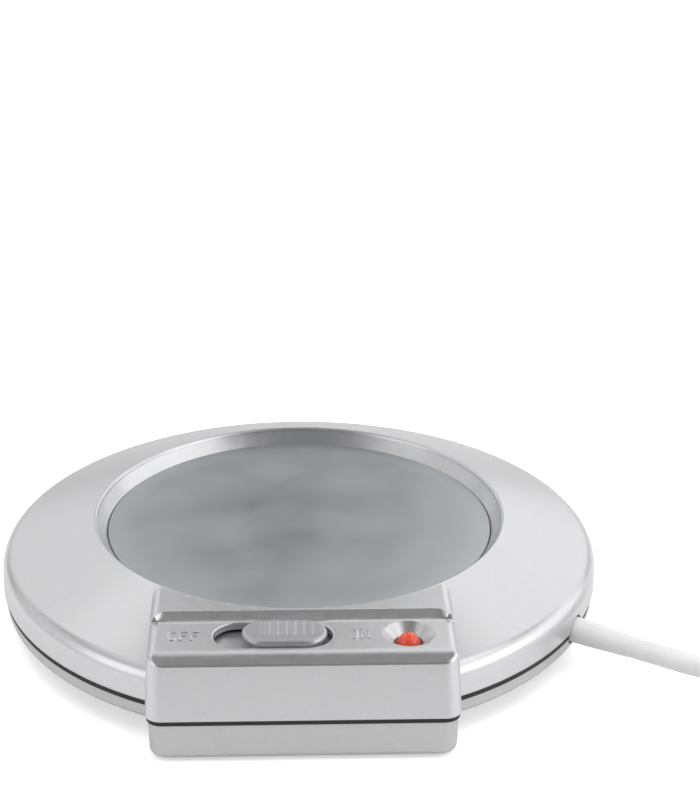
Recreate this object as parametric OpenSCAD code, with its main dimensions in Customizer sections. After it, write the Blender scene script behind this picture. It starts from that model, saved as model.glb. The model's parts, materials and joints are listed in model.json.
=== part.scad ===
// Electric mug warmer: a round two-shell body with a sunk hot plate, a control box
// at the front with a slide switch and a pilot lamp, and a mains cord at the right.
// Millimetres, +Z up, control box towards -Y, origin under the middle of the disc
// on the surface that the feet stand on.

/* [Body] */
// Outer radius of the disc at the seam
disc_r = 65; // [62:0.5:70]
// Height of the rubber feet under the control box
foot_h = 0.8; // [0.5:0.1:1.5]
// Depth of the sump below the floor of the disc
sump_depth = 4.6; // [3.5:0.1:6]
// Height of the lower shell's side wall, from the disc's underside to the seam
lower_side_h = 3.7; // [3.2:0.1:5]
// Height of the dark seal between the two shells
seam_gap = 0.8; // [0.6:0.1:1.2]
// Height of the upper shell's side wall, from the seam to its round shoulder
upper_side_h = 3.7; // [3:0.1:6]
// Slope of the disc's top, in degrees
cone_slope = 19.6; // [18:0.2:21]
// Inward slope of the moulded walls, in degrees
wall_draft = 2.7; // [0.5:0.1:4]
// Radius of the disc's round shoulder
shoulder_r = 3.8; // [2:0.1:5]
// Wall thickness of the two shells
shell_wall = 2; // [1.6:0.1:2.4]
// How far the lower shell stands inside the upper shell's edge
lower_inset = 0.5; // [0.2:0.1:0.8]

/* [Recess] */
// Width of the disc's sloping top, from the seam's edge to the recess
rim_width = 21; // [20:0.1:23]
// How far the recess narrows from its rim to the hot plate's opening
recess_run = 1.7; // [1.2:0.1:2.2]
// Depth of the hot plate's top below the rim
recess_depth = 3; // [2.4:0.1:3.6]
// Radius of the rounded rim
rim_round = 0.8; // [0.4:0.1:1]

/* [Control box] */
// Width of the control box at the seam
box_w = 61.9; // [58:0.1:64]
// Radius of the control box's upright corners
box_corner_r = 3.3; // [2:0.1:5]
// Depth of the raised level between the recess and the step, at the middle
ledge_depth = 1.2; // [1:0.1:3]
// Depth of the panel, front to back
panel_depth = 12.4; // [11.8:0.1:13]
// Step from the raised level down to the panel
panel_step = 1.2; // [0.6:0.1:1.6]
// Slope of the two bevels beside the panel, in degrees
bevel_slope = 26; // [20:1:45]
// Height of the bevel at the front edge
front_bevel_h = 1.2; // [0.6:0.1:1.5]
// Backward lean of the front face, in degrees
front_lean = 12; // [4:0.5:13]
// Thickness of the panel
panel_t = 1.4; // [1.2:0.1:1.6]

/* [Hot plate] */
// Gap between the hot plate's edge and the shell
plate_gap = 0.3; // [0.2:0.05:0.5]
// Thickness of the hot plate's top
plate_t = 1.5; // [1:0.1:1.8]
// Full depth of the hot plate, from its top to its flange's underside
plate_depth = 3.2; // [3:0.1:3.4]
// Width of the hot plate's flange
flange_w = 4; // [3:0.1:4.4]
// Thickness of the hot plate's flange
flange_t = 1.4; // [1:0.1:1.6]
// Wall of the hot plate's rim
plate_wall = 2; // [1.5:0.1:2.5]
// Thickness of the ring that holds the hot plate up
ring_t = 1; // [0.8:0.1:1.2]
// Distance from the hot plate's flange to the ring's screws
ring_screw_out = 3.5; // [3:0.1:4]

/* [Heater] */
// Thickness of each mica sheet
mica_t = 0.3; // [0.2:0.05:0.5]
// Thickness of the heater winding
winding_t = 0.8; // [0.6:0.1:1]
// Thickness of the insulation pad
insulation_t = 1.2; // [1:0.1:1.5]
// Thickness of the steel plate that clamps the heater
clamp_plate_t = 1; // [0.8:0.1:1.2]
// Gap between the heater's sheets and the hot plate's rim
heater_gap = 2.5; // [2.1:0.1:4]
// Radius of the middle stud
stud_r = 2; // [1.5:0.1:2.5]
// Thickness of the nut on the middle stud
nut_h = 2.4; // [2:0.1:2.6]
// Length of the thermal cut-out
cutout_len = 20; // [16:0.5:22]
// Width of the thermal cut-out
cutout_w = 7.5; // [6:0.1:8]
// Thickness of the thermal cut-out
cutout_t = 3.4; // [3:0.1:3.6]
// Thickness of the heat shield
shield_t = 0.4; // [0.3:0.1:0.6]
// Gap between the heat shield and the sump
shield_gap = 3; // [2:0.1:8]

/* [Switch] */
// Middle of the switch slot, to the left of the disc's axis
slot_x = -5.85; // [-6.2:0.05:-5.5]
// Length of the switch slot
slot_len = 23.5; // [22.5:0.1:23.8]
// Width of the switch slot
slot_w = 9.8; // [9.2:0.1:10.2]
// Length of the switch knob
knob_len = 16.9; // [16:0.1:17.4]
// Gap between the knob and each long side of the slot
knob_gap = 0.25; // [0.2:0.05:0.4]
// How far the knob stands above the panel
knob_proud = 1; // [0.6:0.1:1.6]
// Travel of the switch from ON to OFF
switch_travel = 4.5; // [3.5:0.1:4.6]
// Number of finger ribs on the knob
knob_ribs = 8; // [4:1:8]
// Spacing of the finger ribs
rib_pitch = 1.7; // [1.4:0.05:1.8]
// Length of the switch body
switch_len = 24; // [22:0.5:25]
// Width of the switch body
switch_w = 9.4; // [9:0.1:10]
// Height of the switch body
switch_h = 7.2; // [6.8:0.1:7.4]
// Distance between the switch's two screws
switch_pitch = 38.4; // [38:0.1:38.8]

/* [Pilot lamp] */
// Place of the lamp to the right of the disc's axis
lamp_x = 20.9; // [20.5:0.1:21.3]
// Radius of the dished hole around the lamp, at the panel
dish_r = 5; // [4.6:0.1:5.2]
// Radius of the hole for the lens
lens_hole_r = 2.85; // [2.6:0.05:3]
// Depth of the dished hole
dish_depth = 2; // [1.6:0.1:2.2]
// Gap between the lens and its hole
lens_gap = 0.3; // [0.2:0.05:0.4]

/* [Cord] */
// Diameter of the mains cord
cord_d = 4.5; // [4:0.1:4.6]
// Diameter of the strain relief where it leaves the body
relief_d = 5.4; // [5.2:0.1:5.8]
// Length of the strain relief outside the body
relief_out = 12; // [10:0.5:12.5]
// Length of the strain relief inside the body
relief_in = 7; // [6:0.5:8]
// Gap around the strain relief in the shells
relief_gap = 0.5; // [0.3:0.1:0.7]
// Diameter of the insulated wires inside
wire_d = 1.6; // [1.2:0.1:1.7]

/* [Plug] */
// Width of the plug's body
plug_w = 22; // [20:0.5:24]
// Height of the plug's body
plug_h = 11.6; // [11:0.1:12.5]
// Length of the plug's body
plug_len = 23; // [20:0.5:26]
// Distance between the plug's blades
blade_pitch = 12.7; // [12:0.1:13.2]
// Length of the plug's blades
blade_len = 16.5; // [15.9:0.1:18.3]

/* [Hidden] */
$fn = 96;
eps = 0.01;
slack = 0.3; // running gap between moving pieces
snug = 0.1; // gap between pieces that sit in one another
wire_gap = 0.2; // gap between the end of a wire and what it is fixed to

// levels
box_z = foot_h;
floor_z = box_z + sump_depth;
floor_top = floor_z + shell_wall;
lower_top = floor_z + lower_side_h;
upper_z = lower_top + seam_gap;
seam_z = lower_top + seam_gap / 2;
side_top = upper_z + upper_side_h;
side_r = disc_r - upper_side_h * tan(wall_draft);
shoulder_drop = shoulder_r / tan((90 + cone_slope) / 2);
cone_edge_z = side_top + shoulder_drop;
rim_r = disc_r - rim_width;
opening_r = rim_r - recess_run;
rim_out_r = rim_r + rim_round;
rim_z = cone_edge_z + (side_r - rim_out_r) * tan(cone_slope);
plate_top = rim_z - recess_depth;
flange_r = opening_r - plate_gap + flange_w;
ring_screw_r = flange_r + ring_screw_out;
flange_z = plate_top - plate_depth;
flange_top = flange_z + flange_t;
lip_z = flange_top + 0.6;
skirt_r = flange_r + slack;
panel_z = rim_z - panel_step;
panel_under = panel_z - panel_t;

// control box outline
box_front = disc_r;
ledge_y = rim_r + ledge_depth;
bevel_run = panel_step / tan(bevel_slope);
panel_back = ledge_y + bevel_run;
panel_front = panel_back + panel_depth;
front_edge_z = panel_z - front_bevel_h;
front_edge_y = box_front - (front_edge_z - upper_z) * tan(front_lean);
control_y = (panel_back + panel_front) / 2 - 0.7;
box_back = rim_r - 16; // inside the recess, where the box has merged into the disc
lower_box_drop = 0.6;
front_cut = 0.2; // how far the disc stays behind the control box's front
front_cut_w = 40;

// joints between the shells
seal_in = 1;
tongue_out = 2.8;
tongue_t = 1.6;
tongue_h = 2.3;
upper_wall_in = tongue_out - slack;
screw_r = 1.45;
screw_head_r = 2.9;
screw_head_h = 1.7;
screw_len = 8;
seat_z = floor_z + 2.2;
boss_r = 3;
pocket_r = screw_head_r + slack;
pocket_wall = 1.3;
rear_boss = (disc_r - 10) * [cos(60), sin(60)];
front_boss = [box_w / 2 - 4.95, -(box_front - 5.7)];
screw_places = [[rear_boss[0], rear_boss[1]], [-rear_boss[0], rear_boss[1]],
  [front_boss[0], front_boss[1]], [-front_boss[0], front_boss[1]]];

// feet
pad_t = 1.8;
front_pad_r = 4;
rear_foot_r = 7;
rear_foot = (disc_r - 16) * [cos(42.5), sin(42.5)];
front_foot = [15, -(box_front - 12)];
sump_back = ledge_y - 3.2;

// heater stack, from the hot plate's underside down
pocket_top = plate_top - plate_t;
winding_z = pocket_top - mica_t - winding_t;
lower_mica_z = winding_z - mica_t;
insulation_z = lower_mica_z - insulation_t;
clamp_z = insulation_z - clamp_plate_t;
washer_t = 0.6;
nut_z = clamp_z - washer_t - nut_h;
stud_z = nut_z - 0.8;
pocket_side_r = opening_r - plate_gap - plate_wall;
heater_r = pocket_side_r - heater_gap;
tab_r = heater_r + 1.3;
tab_angles = [-75, -60];
tab_end_z = clamp_z - 1.3;
cutout_y = -20;
cutout_z = clamp_z - cutout_t;
strap_t = 0.4;
strap_w = 6;
shield_z = floor_top + 0.6;
shield_r = sump_back - shield_gap;
ring_screw_angles = [90, 210, 330];
ring_head_h = 1.2;
ring_shank = 2.4;
ring_shank_r = 1.1;

// switch stack, from the panel down
knob_w = slot_w - 2 * knob_gap;
knob_end_gap = (slot_len - knob_len - switch_travel) / 2;
knob_x = slot_x + slot_len / 2 - knob_end_gap - knob_len / 2;
knob_top = panel_z + knob_proud;
shutter_gap = 0.8;
shutter_t = 1;
shutter_top = panel_under - shutter_gap;
shutter_z = shutter_top - shutter_t;
shutter_in = slot_x - slot_len / 2 - 0.8;
shutter_len = slot_len + switch_travel + 1.1;
frame_t = 0.8;
frame_w = 9;
frame_ear_w = 4.6;
frame_z = shutter_z - 0.6 - frame_t;
switch_z = frame_z - switch_h;
lever_w = 4;
lever_x = knob_x;
foot_len = 8;
foot_w = 5;
lever_foot_h = 1.1;
cavity_h = 3;
cavity_z = frame_z - cavity_h;
bridge_t = 0.8;
bridge_z = frame_z - slack - lever_foot_h - bridge_t;
terminal_t = 0.8;
terminal_w = 2.6;
terminal_z = switch_z - 4;
contact_t = 0.5;
terminal_pitch = 5;
ear_r = 1.8;
ear_screw_r = 0.9;

// pilot lamp
lens_r = lens_hole_r - lens_gap;
dish_z = panel_z - dish_depth;
lamp_boss_r = dish_r + 0.6;
lamp_boss_z = dish_z - 1.4;
lens_flange_t = 0.8;
lens_bore_r = 1.95;
lamp_r = 1.7;
lamp_z = lamp_boss_z - 6.3;
clip_t = 1;
clip_r = lens_r + 1.25;
lens_z = lamp_boss_z - 4;

// raised letters beside the switch
letter_gap = 2.2;
letter_rise = 0.25;
off_reach = 5.9;
on_reach = 5.3;

// terminal block on the floor of the sump
sump_floor = box_z + shell_wall;
block_x = 7.5;
block_len = 14;
block_w = 12;
block_h = 8;
block_y = -control_y + 8.2;
way_y = [-control_y + 5.2, -control_y - 0.8];
way_z = sump_floor + 4;
left_face = block_x - wire_gap;
right_face = block_x + block_len + wire_gap;
resistor_r = 1.3;
resistor_len = 7;
resistor_at = [block_x + 3, way_y[0] - 2.6, sump_floor + block_h + resistor_r];

// strain relief and cord clamp
relief_turn = -26;
relief_fall = 6;
exit_angle = -27.5;
exit_point = [disc_r * cos(exit_angle), disc_r * sin(exit_angle), seam_z];
relief_dir = [cos(relief_turn) * cos(relief_fall), sin(relief_turn) * cos(relief_fall),
  -sin(relief_fall)];
relief_side = [-sin(relief_turn), cos(relief_turn), 0];
relief_tip_r = cord_d / 2 + 0.15;
relief_tip_len = 4;
inner_cord_len = 11.5;
inner_end = -(relief_in + inner_cord_len);
core_reach = 0.9;
clamp_in = 11;
clamp_post_r = 2.4;
clamp_reach = 5.6;

// cord route, outside the body
lead_route = [[68.4, -35.2, 8.25], [72.5, -37.1, 7.8], [76.8, -38.5, 7], [81.3, -39.2, 5.9],
  [86, -39.4, 4.8], [91, -39.2, 3.7], [96.5, -38.8, 2.8], [103, -38.4, 2.4], [110, -38.2, 2.3],
  [117, -38.2, 2.3], [124, -38.2, 2.3]];
coil_at = [132, -5, 0];
coil_middle_r = 26.5;
coil_turn_r = [for (i = [-1.5 : 1 : 1.5]) coil_middle_r + i * cord_d];
tail_route = [[149, -28, 6.8], [156, -23.5, 6.9], [163, -18.5, 6.6], [169, -12.5, 5.6],
  [173.5, -5.5, 4.4], [176, 2.5, 3.7], [177, 10.5, 4.2], [177, 18, 5.3], [177, 24, 5.8]];
plug_at = [177, 24, 5.8];
plug_neck_len = 9;

// ---------------------------------------------------------------- helpers

function unit(v) = v / norm(v);

// point on the strain relief's axis, measured outward from where it leaves the body
function relief_point(along, aside = 0) = exit_point + along * relief_dir + aside * relief_side;

// point list of a polygon whose corners [x, y, radius] are rounded by arcs of n steps
function rounded(corners, n = 5) = [
  for (i = [0 : len(corners) - 1])
    let (c = corners[i], p = corners[(i + len(corners) - 1) % len(corners)],
      q = corners[(i + 1) % len(corners)], here = [c[0], c[1]],
      u = unit([p[0], p[1]] - here), v = unit([q[0], q[1]] - here))
    if (c[2] == 0) here
    else
      let (half = acos(u * v) / 2, back = c[2] / tan(half),
        middle = here + unit(u + v) * c[2] / sin(half),
        from = here + u * back - middle, to = here + v * back - middle,
        start = atan2(from[1], from[0]),
        turn = atan2(from[0] * to[1] - from[1] * to[0], from * to))
      for (k = [0 : n]) middle + c[2] * [cos(start + turn * k / n), sin(start + turn * k / n)]
];

// smooth curve through the route's points, with n steps between two of them
function curve(p, n) = [
  for (i = [0 : len(p) - 2], k = [0 : n - 1])
    let (a = p[max(i - 1, 0)], b = p[i], c = p[i + 1], d = p[min(i + 2, len(p) - 1)], t = k / n)
    0.5 * (2 * b + (c - a) * t + (2 * a - 5 * b + 4 * c - d) * t * t
      + (3 * b - a - 3 * c + d) * t * t * t),
  p[len(p) - 1]
];

// round tube swept along a list of points, as one polyhedron
module swept(path, radius, sides = 8) {
  last = len(path) - 1;
  rings = [for (i = [0 : last])
    let (along = unit(path[min(i + 1, last)] - path[max(i - 1, 0)]),
      flat = abs(along[2]) > 0.95 ? [1, 0, 0] : [0, 0, 1],
      side = unit(cross(flat, along)), top = cross(along, side))
    for (k = [0 : sides - 1])
      path[i] + radius * (side * cos(360 * k / sides) + top * sin(360 * k / sides))];
  walls = [for (i = [0 : last - 1], k = [0 : sides - 1])
    let (a = i * sides + k, b = i * sides + (k + 1) % sides)
    each [[a, b, b + sides], [a, b + sides, a + sides]]];
  first_end = [for (k = [1 : sides - 2]) [0, k + 1, k]];
  last_end = [for (k = [1 : sides - 2]) [last * sides, last * sides + k, last * sides + k + 1]];
  polyhedron(points = rings, faces = [for (f = concat(walls, first_end, last_end)) [f[2], f[1], f[0]]]);
}

module rounded_square(x0, x1, y0, y1, r) {
  translate([x0 + r, y0]) square([x1 - x0 - 2 * r, y1 - y0]);
  translate([x0, y0 + r]) square([x1 - x0, y1 - y0 - 2 * r]);
  for (x = [x0 + r, x1 - r], y = [y0 + r, y1 - r]) translate([x, y]) circle(r);
}

module stadium(length, width) {
  square([length - width, width], center = true);
  for (s = [-1, 1]) translate([s * (length - width) / 2, 0]) circle(width / 2);
}

// outline of the control box, drawn in by inset
module box_outline(inset) {
  half = box_w / 2 - inset;
  rounded_square(-half, half, -box_front + inset, -box_back, box_corner_r - inset * 0.6);
}

// outline of the whole body at the seam, drawn in by inset
module body_outline(inset) {
  difference() {
    circle(disc_r - inset, $fn = 192);
    translate([-front_cut_w / 2, -box_front - 1]) square([front_cut_w, 1 + inset + front_cut]);
  }
  box_outline(inset);
}

module ring(outer, inner, height) {
  difference() {
    cylinder(r = outer, h = height);
    translate([0, 0, -eps]) cylinder(r = inner, h = height + 2 * eps);
  }
}

module at_ring_screws() {
  for (a = ring_screw_angles) rotate(a) translate([ring_screw_r, 0, 0]) children();
}

module at_housing_screws() {
  for (p = screw_places) translate([p[0], p[1], 0]) children();
}

module along_relief() {
  translate(exit_point) rotate([0, 0, relief_turn]) rotate([0, 90 + relief_fall, 0]) children();
}

// ---------------------------------------------------------------- shells

// the disc, cut off just behind the control box's leaning front face
module disc_top() {
  difference() {
    rotate_extrude($fn = 192)
      polygon(rounded([[0, upper_z, 0], [disc_r, upper_z, 0], [side_r, cone_edge_z, shoulder_r],
        [rim_out_r, rim_z, 0], [0, rim_z, 0]], 8));
    rotate([90, 0, 90]) linear_extrude(front_cut_w, center = true)
      polygon([[-box_front - 2, upper_z - 1], [-box_front + front_cut - tan(front_lean), upper_z - 1],
        [-front_edge_y + front_cut, front_edge_z], [-box_front - 2, front_edge_z]]);
  }
}

// side view of the control box, extruded across it
module box_top_solid() {
  half = box_w / 2;
  lean_in = (rim_z - upper_z) * tan(wall_draft);
  intersection() {
    rotate([90, 0, 90]) linear_extrude(box_w + 2, center = true)
      polygon(rounded([[-box_front, upper_z, 0], [-box_back, upper_z, 0], [-box_back, rim_z, 0],
        [-ledge_y, rim_z, 0.6], [-panel_back, panel_z, 0.6], [-panel_front, panel_z, 1],
        [-front_edge_y, front_edge_z, 0.8]], 4));
    linear_extrude(rim_z + 1) box_outline(0);
    rotate([90, 0, 0]) linear_extrude(box_front + 1)
      polygon(rounded([[-half, upper_z, 0], [half, upper_z, 0], [half - lean_in, rim_z, 1.1],
        [-half + lean_in, rim_z, 1.1]], 4));
  }
}

module recess_tool() {
  rotate_extrude($fn = 192)
    polygon(concat([[0, lip_z - 1], [opening_r, lip_z - 1], [opening_r, plate_top - 0.3]],
      [for (k = [0 : 5]) [rim_out_r - rim_round * cos(90 * k / 5) * 0.9,
        rim_z - rim_round * (1 - sin(90 * k / 5))]],
      [[rim_out_r + 1, rim_z + 1], [0, rim_z + 1]]));
}

module disc_hollow() {
  in_r = disc_r - upper_wall_in;
  under = shell_wall / cos(cone_slope);
  rotate_extrude($fn = 192)
    polygon([[0, 0], [in_r, 0], [in_r, side_top - 0.5], [in_r - 0.9, side_top + 0.9],
      [in_r - 2.4, cone_edge_z - under + 0.6],
      [skirt_r, cone_edge_z - under + (side_r - skirt_r) * tan(cone_slope)],
      [skirt_r, lip_z], [0, lip_z]]);
}

module box_hollow() {
  in_half = box_w / 2 - upper_wall_in;
  difference() {
    intersection() {
      rotate([90, 0, 90]) linear_extrude(box_w, center = true)
        polygon([[-(box_front - upper_wall_in), 0], [-box_back, 0], [-box_back, panel_under],
          [-(panel_front - 1.2), panel_under], [-(front_edge_y - 2.3), front_edge_z - 1.7],
          [-(box_front - upper_wall_in), lower_top + tongue_h + slack]]);
      linear_extrude(rim_z) rounded_square(-in_half, in_half, -(box_front - upper_wall_in), -box_back, 1);
    }
    translate([0, 0, lip_z]) cylinder(r = skirt_r, h = 20);
  }
}

module letter_o() {
  linear_extrude(0.5) difference() {
    union() {
      square([1.9, 1.6], center = true);
      for (s = [-1, 1]) translate([0, s * 0.8]) circle(0.95);
    }
    square([0.9, 1.6], center = true);
    for (s = [-1, 1]) translate([0, s * 0.8]) circle(0.45);
  }
}

module letter_f() {
  translate([-0.8, -1.75, 0]) cube([0.5, 3.5, 0.5]);
  translate([-0.8, 1.25, 0]) cube([1.7, 0.5, 0.5]);
  translate([-0.8, -0.1, 0]) cube([1.4, 0.5, 0.5]);
}

module letter_n() {
  for (x = [-0.95, 0.45]) translate([x, -1.75, 0]) cube([0.5, 3.5, 0.5]);
  translate([0, 0, 0.25]) rotate(23) cube([0.5, 3.5, 0.5], center = true);
}

module panel_letters() {
  z = panel_z - 0.5 + letter_rise;
  off_x = slot_x - slot_len / 2 - off_reach;
  on_x = slot_x + slot_len / 2 + on_reach;
  translate([off_x - letter_gap, -control_y, z]) letter_o();
  translate([off_x, -control_y, z]) letter_f();
  translate([off_x + letter_gap, -control_y, z]) letter_f();
  translate([on_x - letter_gap / 2, -control_y, z]) letter_o();
  translate([on_x + letter_gap / 2, -control_y, z]) letter_n();
}

module upper_bosses() {
  at_ring_screws() translate([0, 0, flange_z]) cylinder(r = 2.6, h = lip_z - flange_z + 1.4);
  for (p = screw_places)
    translate([p[0], p[1], upper_z])
      cylinder(r = boss_r, h = (p[1] > 0 ? cone_edge_z : front_edge_z - 0.6) - upper_z);
  for (s = [-1, 1])
    translate([slot_x + s * switch_pitch / 2, -control_y, frame_z + frame_t])
      cylinder(r = ear_r, h = panel_under - frame_z - frame_t + eps);
  translate([lamp_x, -control_y, lamp_boss_z]) cylinder(r = lamp_boss_r, h = panel_z - lamp_boss_z - 0.5);
}

module upper_housing() {
  color([0.80, 0.80, 0.82]) difference() {
    union() {
      difference() {
        union() {
          disc_top();
          box_top_solid();
        }
        disc_hollow();
        box_hollow();
      }
      upper_bosses();
      panel_letters();
    }
    recess_tool();
    translate([slot_x, -control_y, panel_under - 1]) linear_extrude(panel_t + 2) stadium(slot_len, slot_w);
    translate([lamp_x, -control_y, dish_z]) cylinder(r1 = lens_hole_r, r2 = dish_r, h = dish_depth + eps);
    translate([lamp_x, -control_y, lamp_boss_z - 1]) cylinder(r = lens_hole_r, h = dish_depth + 3);
    at_ring_screws() translate([0, 0, flange_z - 1])
      cylinder(r = ring_shank_r + 0.05, h = ring_shank + 1.2);
    at_housing_screws() translate([0, 0, upper_z - 1]) cylinder(r = screw_r + 0.05, h = screw_len);
    for (s = [-1, 1])
      translate([slot_x + s * switch_pitch / 2, -control_y, frame_z])
        cylinder(r = ear_screw_r + 0.05, h = frame_t + 2.4);
    along_relief() cylinder(r = relief_d / 2 + relief_gap, h = 30, center = true);
  }
}

module sump_solid(inset, bottom, top) {
  half = box_w / 2 - lower_box_drop - inset;
  translate([0, 0, bottom]) linear_extrude(top - bottom)
    rounded_square(-half, half, -(box_front - lower_box_drop) + inset,
      -sump_back + shell_wall - inset, box_corner_r - inset * 0.6);
}

module lower_bowl() {
  difference() {
    rotate_extrude($fn = 192)
      polygon(rounded([[0, floor_z, 0], [disc_r - lower_inset - 1.2, floor_z, 1.2],
        [disc_r - lower_inset, lower_top, 0], [0, lower_top, 0]], 5));
    translate([-front_cut_w / 2, -box_front - 1, floor_z - 1])
      cube([front_cut_w, 1 + lower_box_drop + front_cut, lower_top - floor_z + 2]);
  }
}

module shield_ribs() {
  for (a = [60, 180, 300]) rotate(a) translate([shield_r - 8, -1, floor_top - eps])
    cube([6, 2, shield_z - floor_top + eps]);
}

// screw bosses, kept inside the side walls and, above them, inside the tongue
module lower_bosses() {
  intersection() {
    for (p = screw_places)
      translate([p[0], p[1], p[1] > 0 ? floor_z : box_z])
        cylinder(r = pocket_r + pocket_wall, h = upper_z - box_z);
    union() {
      translate([0, 0, box_z]) linear_extrude(lower_top - box_z) body_outline(lower_box_drop + eps);
      translate([0, 0, lower_top - eps]) linear_extrude(seam_gap + eps) body_outline(tongue_out);
    }
  }
}

module at_cord_clamp() {
  translate(exit_point) rotate([0, 0, relief_turn]) translate([-clamp_in, 0, 0]) children();
}

module clamp_posts() {
  for (s = [-1, 1])
    at_cord_clamp() translate([0, s * clamp_reach, floor_top - seam_z - eps])
      cylinder(r = clamp_post_r, h = seam_z - floor_top + 1);
}

module lower_housing() {
  color([0.72, 0.73, 0.72]) difference() {
    union() {
      difference() {
        union() {
          lower_bowl();
          sump_solid(0, box_z, lower_top);
        }
        translate([0, 0, floor_top]) cylinder(r = disc_r - tongue_out - tongue_t, h = 20, $fn = 192);
        sump_solid(shell_wall, sump_floor, lower_top + 1);
      }
      difference() {
        translate([0, 0, floor_top])
          linear_extrude(lower_top + tongue_h - floor_top) body_outline(tongue_out);
        translate([0, 0, floor_top - 1]) linear_extrude(20) body_outline(tongue_out + tongue_t);
      }
      for (s = [-1, 1])
        translate([s * rear_foot[0], rear_foot[1], box_z]) cylinder(r = rear_foot_r, h = sump_depth + 1);
      lower_bosses();
      shield_ribs();
      clamp_posts();
    }
    at_housing_screws() {
      translate([0, 0, -1]) cylinder(r = pocket_r, h = seat_z + 1);
      translate([0, 0, -1]) cylinder(r = screw_r + 0.15, h = 30);
      translate([0, 0, upper_z]) cylinder(r = boss_r + slack, h = 20);
    }
    for (s = [-1, 1]) {
      translate([s * rear_foot[0], rear_foot[1], 0]) cylinder(r = front_pad_r + snug, h = pad_t);
      translate([s * front_foot[0], front_foot[1], 0]) cylinder(r = front_pad_r + snug, h = pad_t);
      at_cord_clamp() translate([0, s * clamp_reach, -2.6]) cylinder(r = ear_screw_r + 0.05, h = 8);
    }
    along_relief() cylinder(r = relief_d / 2 + relief_gap, h = 30, center = true);
  }
}

module seam_seal() {
  color([0.08, 0.08, 0.09]) difference() {
    translate([0, 0, lower_top]) linear_extrude(seam_gap) difference() {
      body_outline(seal_in);
      body_outline(tongue_out);
    }
    along_relief() cylinder(r = relief_d / 2 + relief_gap, h = 30, center = true);
  }
}

// ---------------------------------------------------------------- hot plate and heater

module hot_plate() {
  plate_r = opening_r - plate_gap;
  color([0.62, 0.64, 0.65]) rotate_extrude($fn = 192)
    polygon([[0, pocket_top], [pocket_side_r, pocket_top], [pocket_side_r, flange_z],
      [flange_r, flange_z], [flange_r, flange_top], [plate_r, flange_top],
      [plate_r, plate_top - 0.3], [plate_r - 0.3, plate_top], [0, plate_top]]);
}

module plate_seal() {
  color([0.15, 0.15, 0.15]) translate([0, 0, flange_top])
    ring(flange_r, opening_r - plate_gap + snug, lip_z - flange_top);
}

module plate_ring() {
  color([0.70, 0.70, 0.70]) difference() {
    union() {
      translate([0, 0, flange_z - ring_t]) ring(flange_r + 0.6, pocket_side_r + 1.2, ring_t);
      for (a = ring_screw_angles)
        rotate(a) translate([flange_r, 0, flange_z - ring_t]) {
          translate([-2, -3, 0]) cube([ring_screw_r - flange_r + 2, 6, ring_t]);
          translate([ring_screw_r - flange_r, 0, 0]) cylinder(r = 3, h = ring_t);
        }
    }
    at_ring_screws() translate([0, 0, flange_z - ring_t - 1])
      cylinder(r = ring_shank_r + 0.2, h = ring_t + 2);
  }
}

module plate_ring_screws() {
  color([0.75, 0.74, 0.70]) at_ring_screws() {
    translate([0, 0, flange_z - ring_t - ring_head_h]) cylinder(r = 2.2, h = ring_head_h);
    translate([0, 0, flange_z - ring_t]) cylinder(r = ring_shank_r, h = ring_t + ring_shank - 1);
  }
}

module heater_stud() {
  color([0.75, 0.66, 0.42]) translate([0, 0, stud_z]) cylinder(r = stud_r, h = pocket_top - stud_z);
}

module upper_mica() {
  color([0.72, 0.62, 0.42]) translate([0, 0, pocket_top - mica_t]) ring(heater_r, stud_r + snug, mica_t);
}

// flat wound card with its two terminal tabs
module heater_winding() {
  card_in = 9;
  groove_w = 1.2;
  color([0.45, 0.43, 0.42]) {
    difference() {
      translate([0, 0, winding_z]) ring(heater_r - 1, card_in, winding_t);
      for (a = [0 : 15 : 359])
        rotate(a) translate([card_in + 3, -groove_w / 2, winding_z + winding_t * 0.6])
          cube([heater_r - card_in - 8, groove_w, winding_t]);
    }
    for (a = tab_angles) rotate(a) {
      translate([heater_r - 3, -1.5, winding_z]) cube([tab_r - heater_r + 3.3, 3, winding_t * 0.6]);
      translate([tab_r - 0.3, -1.5, tab_end_z]) cube([0.6, 3, winding_z - tab_end_z + winding_t * 0.6]);
    }
  }
}

module lower_mica() {
  color([0.72, 0.62, 0.42]) translate([0, 0, lower_mica_z]) ring(heater_r - 0.5, stud_r + snug, mica_t);
}

module insulation_pad() {
  color([0.92, 0.92, 0.88]) translate([0, 0, insulation_z])
    ring(heater_r - 0.5, stud_r + snug, insulation_t);
}

module heater_clamp() {
  color([0.66, 0.67, 0.68]) translate([0, 0, clamp_z]) ring(heater_r - 0.5, stud_r + snug, clamp_plate_t);
}

module clamp_washer() {
  color([0.70, 0.70, 0.70]) translate([0, 0, clamp_z - washer_t]) ring(4.2, stud_r + snug, washer_t);
}

module clamp_nut() {
  color([0.75, 0.72, 0.60]) translate([0, 0, nut_z]) difference() {
    cylinder(r = 4.04, h = nut_h, $fn = 6);
    translate([0, 0, -1]) cylinder(r = stud_r + 0.05, h = nut_h + 2);
  }
}

module thermal_cutout() {
  color([0.85, 0.80, 0.68]) translate([-cutout_len / 2, cutout_y - cutout_w / 2, cutout_z])
    cube([cutout_len, cutout_w, cutout_t]);
}

module cutout_strap() {
  reach = cutout_w / 2 + snug;
  color([0.70, 0.70, 0.70]) translate([-strap_w / 2, cutout_y, 0]) {
    translate([0, -reach - strap_t, cutout_z - strap_t]) cube([strap_w, 2 * (reach + strap_t), strap_t]);
    for (s = [0, 1]) mirror([0, s, 0]) {
      translate([0, reach, cutout_z - strap_t]) cube([strap_w, strap_t, cutout_t + strap_t]);
      translate([0, reach, clamp_z - strap_t]) cube([strap_w, 3.4, strap_t]);
    }
  }
}

module heat_shield() {
  color([0.80, 0.81, 0.82]) translate([0, 0, shield_z]) cylinder(r = shield_r, h = shield_t);
}

// ---------------------------------------------------------------- switch

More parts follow.
